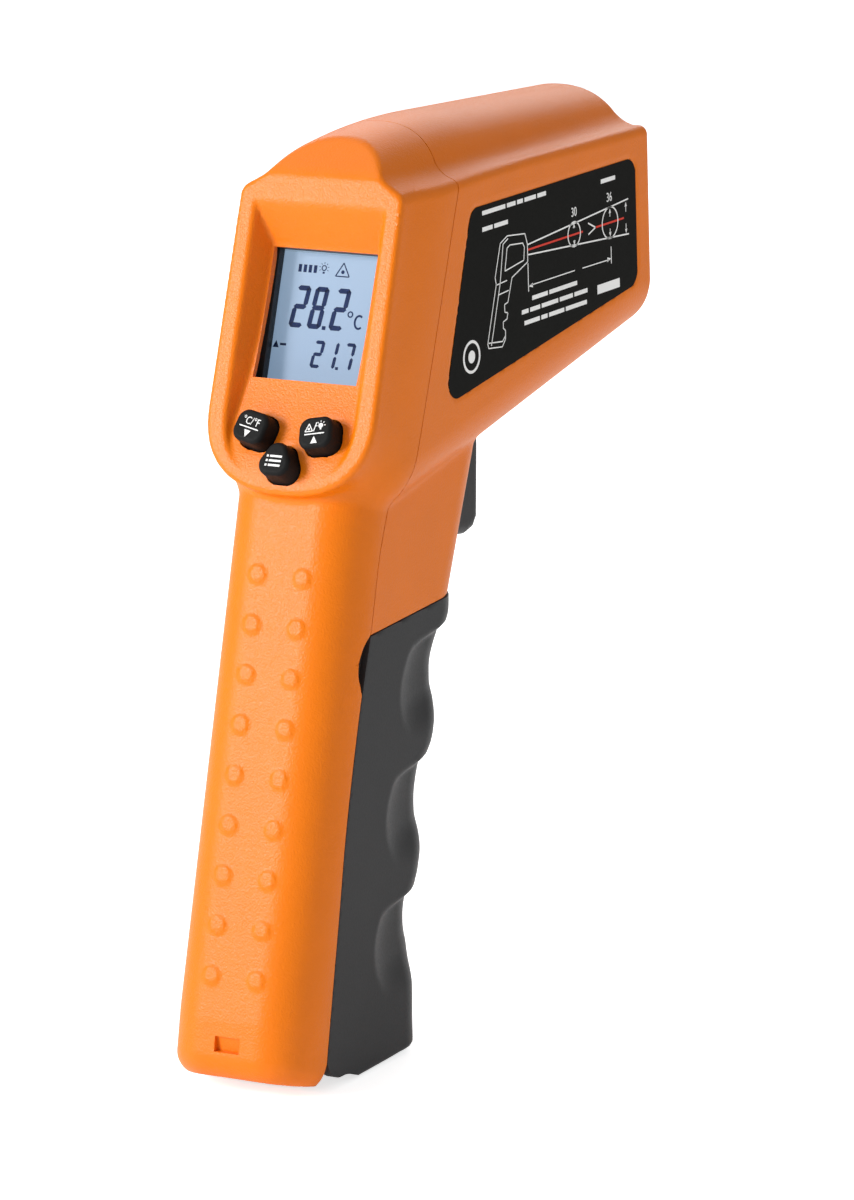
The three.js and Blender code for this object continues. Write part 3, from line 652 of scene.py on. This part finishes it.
def ring_strokes(cx, cy, rx, ry, width, sides=28, start=0.0, stop=2 * math.pi):
    """Oval ring, or a stretch of one, as short straight pieces."""
    turns = np.linspace(start, stop, sides + 1)
    out = []
    for s, t in zip(turns, turns[1:]):
        inner, outer = (
            [(cx + (rx + grow) * math.cos(k), cy + (ry + grow) * math.sin(k)) for k in (s, t)]
            for grow in (-width / 2, width / 2))
        out.append([inner[0], outer[0], outer[1], inner[1]])
    return out


# ---- materials --------------------------------------------------------------------------
def srgb(r, g, b):
    def one(c):
        c = c / 255
        return c / 12.92 if c <= 0.04045 else ((c + 0.055) / 1.055) ** 2.4
    return (one(r), one(g), one(b), 1.0)


class Shader:
    """A node material that starts as a Principled surface."""

    def __init__(self, name, roughness=0.5, metallic=0.0, **sockets):
        self.material = bpy.data.materials.new(name)
        self.material.use_nodes = True
        self.tree = self.material.node_tree
        self.surface = self.tree.nodes["Principled BSDF"]
        self.surface.inputs["Roughness"].default_value = roughness
        self.surface.inputs["Metallic"].default_value = metallic
        for key, value in sockets.items():
            self.surface.inputs[key.replace("_", " ")].default_value = value
        self.where = self.tree.nodes.new("ShaderNodeTexCoord")

    def node(self, kind, **settings):
        made = self.tree.nodes.new(kind)
        for key, value in settings.items():
            setattr(made, key, value)
        return made

    def link(self, a, b):
        self.tree.links.new(a, b)

    def noise(self, scale, detail=2.0, rough=0.5, stretch=None):
        made = self.node("ShaderNodeTexNoise")
        made.inputs["Scale"].default_value = scale
        made.inputs["Detail"].default_value = detail
        made.inputs["Roughness"].default_value = rough
        source = self.where.outputs["Object"]
        if stretch:
            mapping = self.node("ShaderNodeMapping")
            mapping.inputs["Scale"].default_value = stretch
            self.link(source, mapping.inputs["Vector"])
            source = mapping.outputs["Vector"]
        self.link(source, made.inputs["Vector"])
        return made.outputs["Fac"]

    def ramp(self, source, stops):
        made = self.node("ShaderNodeValToRGB")
        ramp = made.color_ramp
        while len(ramp.elements) < len(stops):
            ramp.elements.new(0.5)
        for element, (at, color) in zip(ramp.elements, stops):
            element.position = at
            element.color = color
        self.link(source, made.inputs["Fac"])
        return made.outputs["Color"]

    def spread(self, source, low, high):
        made = self.node("ShaderNodeMapRange")
        made.inputs["From Min"].default_value = 0.3
        made.inputs["From Max"].default_value = 0.7
        made.inputs["To Min"].default_value = low
        made.inputs["To Max"].default_value = high
        self.link(source, made.inputs["Value"])
        return made.outputs["Result"]

    def bump(self, source, distance):
        made = self.node("ShaderNodeBump")
        made.inputs["Distance"].default_value = distance
        made.inputs["Strength"].default_value = 1.0
        self.link(source, made.inputs["Height"])
        self.link(made.outputs["Normal"], self.surface.inputs["Normal"])


def plastic(name, color, roughness, grain=0.00035, depth=0.00002, tint=0.05, **sockets):
    """Moulded plastic: fine even grain, a little variation in colour and gloss."""
    sockets.setdefault("Specular_IOR_Level", 0.22)
    made = Shader(name, roughness, **sockets)
    broad = made.noise(90, 3)
    dark = tuple(c * (1 - tint) for c in color[:3]) + (1,)
    light = tuple(min(1, c * (1 + tint)) for c in color[:3]) + (1,)
    made.link(made.ramp(broad, [(0.3, dark), (0.7, light)]), made.surface.inputs["Base Color"])
    fine = made.noise(1 / grain, 2, 0.6)
    made.link(made.spread(fine, roughness - 0.06, roughness + 0.06), made.surface.inputs["Roughness"])
    made.bump(fine, depth)
    return made.material


def metal(name, color, roughness):
    made = Shader(name, roughness, 1.0)
    streaks = made.noise(900, 2, 0.5, (1, 1, 6))
    dark = tuple(c * 0.8 for c in color[:3]) + (1,)
    made.link(made.ramp(streaks, [(0.3, dark), (0.7, color)]), made.surface.inputs["Base Color"])
    made.link(made.spread(streaks, roughness - 0.08, roughness + 0.1), made.surface.inputs["Roughness"])
    return made.material


def clear_sheet(name):
    """Thin clear plate: looked through, with a weak reflection."""
    made = Shader(name)
    gloss = made.node("ShaderNodeBsdfGlossy")
    see = made.node("ShaderNodeBsdfTransparent")
    fresnel = made.node("ShaderNodeFresnel")
    blend = made.node("ShaderNodeMixShader")
    gloss.inputs["Roughness"].default_value = 0.12
    fresnel.inputs["IOR"].default_value = 1.04
    see.inputs["Color"].default_value = (0.97, 0.98, 1, 1)
    made.link(fresnel.outputs["Fac"], blend.inputs["Fac"])
    made.link(see.outputs["BSDF"], blend.inputs[1])
    made.link(gloss.outputs["BSDF"], blend.inputs[2])
    out = made.tree.nodes["Material Output"]
    made.link(blend.outputs["Shader"], out.inputs["Surface"])
    made.tree.nodes.remove(made.surface)
    return made.material


def display_painted_glow(name):
    """Liquid-crystal panel, pale blue, with a painted glow that stands in for the light falling on it;
    a little darker towards its lower end.
    """
    made = Shader(name, 0.28)
    split = made.node("ShaderNodeSeparateXYZ")
    made.link(made.where.outputs["Object"], split.inputs["Vector"])
    height = made.node("ShaderNodeMapRange")
    height.inputs["From Min"].default_value = 0.116
    height.inputs["From Max"].default_value = 0.139
    made.link(split.outputs["Z"], height.inputs["Value"])
    # base colours and painted glow colours, both a little darker towards the panel's lower end
    for socket, low, high in (("Base Color", srgb(90, 104, 120), srgb(100, 116, 132)),
                              ("Emission Color", srgb(150, 176, 202), srgb(168, 193, 216))):
        tone = made.ramp(height.outputs["Result"], [(0.0, low), (1.0, high)])
        made.link(tone, made.surface.inputs[socket])
    # the emission is painted light: a glow in place of the lamp light that falls on the panel
    made.surface.inputs["Emission Strength"].default_value = 0.6
    made.surface.inputs["Specular IOR Level"].default_value = 0.1
    made.bump(made.noise(2500, 1), 0.000004)
    return made.material


ORANGE = srgb(242, 123, 4)
materials = {
    "orange_shell": plastic("orange_plastic", ORANGE, 0.36, depth=0.00009, tint=0.02,
                            Specular_IOR_Level=0.3),
    "black_plastic": plastic("black_plastic", srgb(51, 51, 52), 0.4, depth=0.000016),
    "key_rubber": plastic("key_rubber", srgb(28, 28, 28), 0.55, depth=0.00003,
                          Specular_IOR_Level=0.1),
    "label_film": plastic("label_film", srgb(22, 22, 20), 0.4, grain=0.0005, depth=0.000004,
                          Specular_IOR_Level=0.03),
    "clear_plastic": clear_sheet("clear_window"),
    "lcd_glass": display_painted_glow("display_painted_glow"),
    "white_plastic": plastic("white_plastic", srgb(235, 235, 228), 0.5),
    "circuit_board": plastic("circuit_board", srgb(30, 92, 54), 0.45, grain=0.0006),
    "chip_epoxy": plastic("chip_epoxy", srgb(28, 29, 31), 0.55),
    "plated_steel": metal("plated_steel", srgb(205, 207, 210), 0.3),
    "brass": metal("brass", srgb(205, 178, 105), 0.32),
    "infrared_glass": plastic("infrared_glass", srgb(70, 62, 74), 0.16, grain=0.002, depth=0.000003),
    "red_glass": plastic("red_glass", srgb(150, 26, 26), 0.12, grain=0.002, depth=0.000003),
    "cell_wrap": plastic("cell_wrap", srgb(44, 98, 152), 0.35, grain=0.0012, depth=0.000006),
    "red_wire": plastic("wire_cover", srgb(170, 30, 30), 0.45),
}
ink_white = plastic("white_ink", srgb(250, 250, 248), 0.5, grain=0.0004, depth=0.000004)
ink_red = plastic("red_ink", srgb(230, 58, 40), 0.5, grain=0.0004, depth=0.000004)
ink_navy = plastic("display_segments", srgb(16, 38, 80), 0.5, grain=0.0006, depth=0.000002,
                   Specular_IOR_Level=0.05)

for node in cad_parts.values():
    for i, old in enumerate(node.data.materials):
        node.data.materials[i] = materials[old.name.split(".")[0]]
orange, black = materials["orange_shell"], materials["black_plastic"]
rubber = materials["key_rubber"]

# ---- moulded pieces ---------------------------------------------------------------------
rear = moulded("rear_shell", rear_cover_form, (-17.6, -25.6, -2), (17.6, 44, 156.8),
               orange, "housing")
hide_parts("rear_cover")
front = moulded("front_shell", front_housing_form, (-17.6, 2, 72), (17.6, 97.6, 157),
                orange, "housing", step=STEP * 1.12)
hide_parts("front_housing")
door = moulded("grip_door", door_form, (-13.8, -12.4, -1.6), (13.8, 38, 76.4),
               black, "door")
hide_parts("battery_door")
lever = moulded("trigger_lever", trigger_form, (-6.2, 40, 81), (6.2, 56, 109),
                black, "trigger_lever", step=STEP * 0.7)
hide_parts("trigger")
for key in KEYS:
    low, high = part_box(key)
    cap_piece = moulded(key + "_cap", key_form(key), [c / MM - 0.8 for c in low],
                        [c / MM + 0.8 for c in high], rubber, key.replace("button", "key"),
                        step=FINE, mirrored=False)
    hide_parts(key)


# ---- printed keys ------------------------------------------------------------------------
def on_key(name):
    """Key coordinates: u and v along the turned key, w above its top."""
    (cx, cv), turn = KEYS[name]
    c, s = math.cos(turn), math.sin(turn)

    def place(u, v, w):
        x, along = cx + c * u - s * v, cv + s * u + c * v
        return on_pad(x, along, key_top(name, x, along) + w)
    return place


def bar(u, v, width, height, parts=4):
    """Straight bar in short lengths, so that it follows a curved top."""
    edges = np.linspace(u - width / 2, u + width / 2, parts + 1)
    return [[(a, v - height / 2), (b, v - height / 2), (b, v + height / 2), (a, v + height / 2)]
            for a, b in zip(edges, edges[1:])]


def arrow(u, v, size, pointing):
    """Triangle that points up or down."""
    half = size * 0.5
    return [(u - half, v - pointing * half), (u + half, v - pointing * half),
            (u, v + pointing * half)]


def rays(u, v, near, far, turns, width):
    """Strokes that run outwards round a lamp sign."""
    return [stroke((u + near * math.cos(t), v + near * math.sin(t)),
                   (u + far * math.cos(t), v + far * math.sin(t)), width) for t in turns]


left_print = Print(on_key("button_left"))
left_print.text("\u00b0C/\u00b0F", 1.9, 0, 0.75, squeeze=0.82)
left_print.shapes(bar(0, -0.35, 3.9, 0.2)).shape(arrow(0, -1.45, 1.25, -1))
left_print.finish("mark_left_key", ink_white, "key_left", "label_film")
right_print = Print(on_key("button_right"))
right_print.shapes(path_strokes([(-1.75, 0.15), (-0.35, 0.15), (-1.05, 1.5)], 0.16, closed=True))
right_print.shapes(ring_strokes(-1.05, 0.58, 0.16, 0.16, 0.14, 8))
right_print.shape(stroke((-0.15, 0.1), (0.35, 1.6), 0.16))
right_print.shapes(ring_strokes(1.15, 1.0, 0.22, 0.22, 0.44, 12)).shapes(bar(1.15, 0.45, 0.3, 0.34, 1))
right_print.shapes(rays(1.15, 1.0, 0.6, 0.9, [math.pi * ray / 4 for ray in range(5)], 0.12))
right_print.shapes(bar(0, -0.35, 3.7, 0.2)).shape(arrow(0, -1.4, 1.25, 1))
right_print.finish("mark_right_key", ink_white, "key_right", "label_film")
mode_print = Print(on_key("button_mode"))
for line in (0.3, -0.5, -1.3):
    mode_print.shapes(bar(0.3, line, 2.3, 0.36)).shapes(bar(-1.3, line, 0.36, 0.36, 1))
mode_print.finish("mark_mode_key", ink_white, "key_mode", "label_film")


# ---- display ------------------------------------------------------------------------------
SEGMENTS = {"1": "bc", "2": "abged", "7": "abc", "8": "abcdefg"}
DIGIT_LEAN, DIGIT_GAP = 0.13, 0.12


def digit(figure, u, v, width, height, thick):
    """Seven-segment figure standing on (u, v), its lower left corner."""
    h, w, r, g = height / 2, width, thick / 2, DIGIT_GAP
    ends = {"a": ((0, 2 * h), (w, 2 * h)), "g": ((0, h), (w, h)), "d": ((0, 0), (w, 0)),
            "f": ((0, h), (0, 2 * h)), "b": ((w, h), (w, 2 * h)),
            "e": ((0, 0), (0, h)), "c": ((w, 0), (w, h))}
    inward = {"a": (0, -r), "d": (0, r), "g": (0, 0), "f": (r, 0), "e": (r, 0),
              "b": (-r, 0), "c": (-r, 0)}
    out = []
    for key in SEGMENTS[figure]:
        (x0, y0), (x1, y1) = ends[key]
        shift_x, shift_y = inward[key]
        n = math.hypot(x1 - x0, y1 - y0)
        dx, dy = (x1 - x0) / n, (y1 - y0) / n
        line = [(g, 0), (g + r, -r), (n - g - r, -r), (n - g, 0), (n - g - r, r), (g + r, r)]
        spots = [(x0 + dx * a - dy * b + shift_x, y0 + dy * a + dx * b + shift_y)
                 for a, b in line]
        out.append([(u + x + DIGIT_LEAN * y, v + y) for x, y in spots])
    return out


def on_glass(u, v, w):
    return on_face(u, v, w - LCD_DEPTH)


figures = Print(on_glass, 0.03)
for sign, at in (("2", -7.75), ("8", -4.15), ("2", 0.15)):
    figures.shapes(digit(sign, at, 29.0, 2.75, 7.2, 0.86))
figures.shapes(bar(-0.7, 29.3, 0.7, 0.65, 1)).shapes(bar(2.9, 22.7, 0.55, 0.5, 1))
for sign, at in (("2", -2.5), ("1", 0.35), ("7", 3.6)):
    figures.shapes(digit(sign, at, 22.45, 2.0, 4.7, 0.6))
figures.shapes(ring_strokes(4.15, 31.95, 0.45, 0.45, 0.24, 14))
figures.shapes(ring_strokes(6.0, 30.75, 0.8, 1.1, 0.36, 14, math.radians(50), math.radians(310)))
figures.shapes(path_strokes([(0.2, 38.2), (2.9, 38.2), (1.55, 40.5)], 0.2, closed=True))
figures.shapes(ring_strokes(1.55, 38.95, 0.17, 0.17, 0.34, 10))
figures.shapes(ring_strokes(-2.2, 39.4, 0.42, 0.42, 0.18, 14)).shapes(bar(-2.2, 38.6, 0.4, 0.34, 1))
figures.shapes(rays(-2.2, 39.4, 0.7, 1.0,
                    [math.pi * (ray / 6 * 1.3 - 0.15) for ray in range(7)], 0.1))
for u in (-6.9, -5.9, -4.9, -3.9):
    figures.shapes(bar(u, 39.1, 0.62, 1.3, 1))
figures.shape(arrow(-9.6, 26.0, 1.2, 1)).shapes(bar(-8.2, 26.0, 1.2, 0.4, 1))
figures.finish("display_figures", ink_navy, "housing", "lcd_glass")


# ---- labels -----------------------------------------------------------------------------
BEAM_Z = 131.25
LINE, WORD_HIGH = 0.26, 0.75              # width of the drawn beam, height of a word's bar


def label_outline(grow):
    """The label's rounded outline in (y, z)."""
    out = []
    for centre, n1, n2 in inset_corners(LABEL, LABEL_ROUND):
        first, last = math.atan2(n1[1], n1[0]), math.atan2(n2[1], n2[0])
        if last < first:
            last += 2 * math.pi
        out += [tuple(centre + (LABEL_ROUND + grow) * np.array([math.cos(t), math.sin(t)]))
                for t in np.linspace(first, last, 12)]
    return out


def flank(side, lift):
    """Maps label coordinates to a flank: y forward, z up, w outwards."""
    return lambda u, v, w: (side * (HEAD_HALF + lift + w), u, v)


def word_bars(start, end, v, words):
    """Row of short bars that stands for a line of words."""
    gap = 0.55
    total = sum(words)
    room = end - start - gap * (len(words) - 1)
    out, at = [], start
    for word in words:
        width = room * word / total
        out += bar(at + width / 2, v, width, WORD_HIGH, 1)
        at += width + gap
    return out


def beam_diagram(art, side):
    """Beam cone, two spots, dimension arrow, outline of the tool and rows of bars."""
    art.shapes(stroke(p, q, LINE) for p, q in (
        ((54.1, 132.15), (89.0, 134.4)), ((54.0, 130.4), (89.0, 128.2))))
    art.shapes(ring_strokes(70.0, 131.3, 2.15, 2.15, LINE, 36))
    art.shapes(ring_strokes(82.5, BEAM_Z, 2.75, 2.75, LINE, 44))
    for u, v, reach in ((70.0, 131.3, 1.9), (82.5, BEAM_Z, 2.45), (88.1, 131.2, 2.75)):
        for way in (-1, 1):
            art.shape(arrow(u, v + way * (reach - 0.4), 0.75, way))
            art.shape(stroke((u, v + way * 1.05), (u, v + way * (reach - 0.6)), 0.16))
    art.shapes(path_strokes([(74.9, 132.4), (77.4, BEAM_Z), (74.9, 130.4)], LINE))
    art.shapes(stroke(p, q, 0.2) for p, q in (
        ((54.05, 128.9), (54.05, 124.0)), ((82.65, 127.0), (82.65, 124.0))))
    art.shapes(stroke(p, q, 0.18) for p, q in (
        ((55.0, 125.0), (69.9, 124.95)), ((72.6, 124.9), (81.8, 124.8))))
    for u, way in ((55.0, -1), (81.8, 1)):
        art.shape([(u + way * 0.8, 124.9), (u - way * 0.5, 125.3), (u - way * 0.5, 124.5)])
    tool = {
        "head": [(43.0, 128.3), (45.0, 133.9), (47.4, 134.8), (53.3, 134.2), (54.05, 132.2),
                 (54.0, 129.2), (48.6, 127.4), (48.2, 126.4), (47.5, 124.6)],
        "grip": [(47.5, 124.6), (47.0, 123.4), (45.9, 123.2), (45.9, 121.9), (46.9, 121.6),
                 (46.6, 120.6), (45.3, 120.3), (45.3, 119.2), (46.0, 118.7), (45.9, 117.2),
                 (44.8, 116.1), (40.3, 116.6), (40.0, 117.4), (43.3, 127.1), (43.0, 128.3)],
        "label": [(46.3, 128.9), (47.2, 132.7), (48.2, 133.1), (52.5, 132.7), (53.0, 131.9),
                  (52.7, 129.7), (46.3, 128.9)],
        "seam": [(43.6, 127.0), (46.9, 127.2)],
        "strip": [(41.2, 116.9), (44.6, 127.0), (45.9, 133.6), (47.6, 134.3)],
        "foot": [(40.3, 117.5), (44.9, 117.0), (45.9, 117.8)],
        "door": [(44.1, 125.2), (47.4, 125.4)],
    }
    for line in tool.values():
        art.shapes(path_strokes(line, 0.2))
    for start, end, v, words in (
            (39.3, 60.7, 140.0, (8, 3, 2, 4, 3)), (39.2, 47.7, 137.2, (3, 4)),
            (79.6, 84.6, 138.9, (4,)), (55.2, 70.6, 122.7, (5, 9)),
            (51.6, 74.1, 120.8, (2, 3, 5, 4, 4)), (52.4, 73.8, 118.8, (5, 2, 5, 7))):
        art.shapes(word_bars(start, end, v, words))
    art.shapes(bar(81.5, 120.2, 7.8, 1.6, 1))
    for radius, width, sides in ((2.6, 0.5, 40), (0.55, 1.1, 20)):
        art.shapes(ring_strokes(34.6, 116.2, radius, radius, width, sides))
    for number, u, v in (("30", 70.1, 135.1), ("36", 82.4, 135.7)):
        art.text(number, 2.3, u, v, squeeze=0.85, side=side)


for side, tag in ((1, "right"), (-1, "left")):
    plate = Print(flank(side, -0.16), 0.1).shape(label_outline(-0.1))
    plate = plate.finish(f"label_{tag}", materials["label_film"], "housing", "label_film", side < 0)
    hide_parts(f"side_label_{tag}")
    art = Print(flank(side, -0.06), 0.04)
    beam_diagram(art, side)
    art.finish(f"label_{tag}_print", ink_white, "housing", "label_film", side < 0)
    beam = Print(flank(side, -0.06), 0.03)
    beam.shapes(stroke((start, BEAM_Z), (end, BEAM_Z), 0.34)
                for start, end in ((54.2, 73.0), (77.6, 87.4)))
    beam.finish(f"label_{tag}_beam", ink_red, "housing", "label_film", side < 0)

# ---- barrel end -------------------------------------------------------------------------
ring_profile = [(5.5, -8), (NOSE_R, -8), (NOSE_R, 0.3), (NOSE_R - 0.3, 0.8), (NOSE_R - 0.9, 1.0),
                (10.2, 1.0), (9.9, 0.8), (7.5, -4.2), (6.9, -4.5), (5.5, -4.5)]
ring = turned("nose_bezel", ring_profile[::-1], NOSE_Y, AXIS_Z, black, "housing")
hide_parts("nose_ring")

# ---- stage, light, camera ---------------------------------------------------------------
scene = bpy.context.scene
scene.view_settings.view_transform = "Standard"

floor_mesh = bpy.data.meshes.new("floor")
floor_mesh.from_pydata([(-6, -6, 0), (6, -6, 0), (6, 6, 0), (-6, 6, 0)], [], [(0, 1, 2, 3)])
floor = bpy.data.objects.new("floor", floor_mesh)
floor.location = (0, 0, -0.0012)
scene.collection.objects.link(floor)
floor_look = Shader("floor_paper", 0.9)
floor_look.link(floor_look.ramp(floor_look.noise(3, 2), [
    (0.3, srgb(250, 250, 250)), (0.7, srgb(253, 253, 253))]), floor_look.surface.inputs["Base Color"])
floor_look.surface.inputs["Emission Color"].default_value = (1, 1, 1, 1)
floor_look.surface.inputs["Emission Strength"].default_value = 0.15
glow = floor_look.node("ShaderNodeEmission")
glow.inputs["Strength"].default_value = 0.55
lit = floor_look.node("ShaderNodeAddShader")
seen = floor_look.node("ShaderNodeMixShader")
ray = floor_look.node("ShaderNodeLightPath")
floor_look.link(floor_look.surface.outputs["BSDF"], lit.inputs[0])
floor_look.link(glow.outputs["Emission"], lit.inputs[1])
floor_look.link(ray.outputs["Is Camera Ray"], seen.inputs["Fac"])
floor_look.link(floor_look.surface.outputs["BSDF"], seen.inputs[1])
floor_look.link(lit.outputs["Shader"], seen.inputs[2])
floor_look.link(seen.outputs["Shader"], floor_look.tree.nodes["Material Output"].inputs["Surface"])
floor_mesh.materials.append(floor_look.material)

world = bpy.data.worlds.new("studio")
scene.world = world
world.use_nodes = True
sky = world.node_tree
backdrop = sky.nodes["Background"]
backdrop.inputs["Color"].default_value = (1, 1, 1, 1)
backdrop.inputs["Strength"].default_value = 1.0
dim = sky.nodes.new("ShaderNodeBackground")
dim.inputs["Color"].default_value = (1, 1, 1, 1)
dim.inputs["Strength"].default_value = 0.36
path = sky.nodes.new("ShaderNodeLightPath")
choose = sky.nodes.new("ShaderNodeMixShader")
sky.links.new(path.outputs["Is Camera Ray"], choose.inputs["Fac"])
sky.links.new(dim.outputs["Background"], choose.inputs[1])
sky.links.new(backdrop.outputs["Background"], choose.inputs[2])
sky.links.new(choose.outputs["Shader"], sky.nodes["World Output"].inputs["Surface"])

CENTRE = Vector((0, 0.03, 0.08))


def softbox(name, direction, distance, size, power):
    """Rectangular lamp that faces the middle of the object."""
    light = bpy.data.lights.new(name, "AREA")
    light.shape = "RECTANGLE"
    light.size, light.size_y = size
    light.energy = power
    ob = bpy.data.objects.new(name, light)
    toward = Vector(direction).normalized()
    ob.location = CENTRE + toward * distance
    ob.rotation_mode = "QUATERNION"
    ob.rotation_quaternion = toward.to_track_quat("Z", "Y")
    scene.collection.objects.link(ob)


softbox("face_light", (-0.56, -0.76, 0.34), 0.9, (0.26, 0.34), 7.0)
softbox("back_light", (-0.45, 0.85, 0.5), 0.9, (0.6, 0.35), 1.6)
softbox("side_light", (0.95, 0.15, 0.5), 1.0, (0.5, 0.5), 1.2)
softbox("top_light", (-0.55, -0.05, 0.95), 1.0, (0.5, 0.5), 1.3)

AZIMUTH, ELEVATION, ROLL = math.radians(31.4), math.radians(13.0), math.radians(-1.65)
CAMERA_AT = (0.64105, -1.00392, 0.3540)
LENS = 219.27
level = math.cos(ELEVATION)
back = Vector((math.sin(AZIMUTH) * level, -math.cos(AZIMUTH) * level, math.sin(ELEVATION)))
right = (-back).cross(Vector((0, 0, 1))).normalized()
up = right.cross(-back)
c, s = math.cos(ROLL), math.sin(ROLL)
camera_data = bpy.data.cameras.new("camera")
camera_data.sensor_width = 36
camera_data.lens = LENS
camera_data.clip_end = 50
camera = bpy.data.objects.new("camera", camera_data)
axes = (c * right + s * up, c * up - s * right, back)
camera.matrix_world = Matrix.Translation(CAMERA_AT) @ Matrix(axes).transposed().to_4x4()
scene.collection.objects.link(camera)
scene.camera = camera
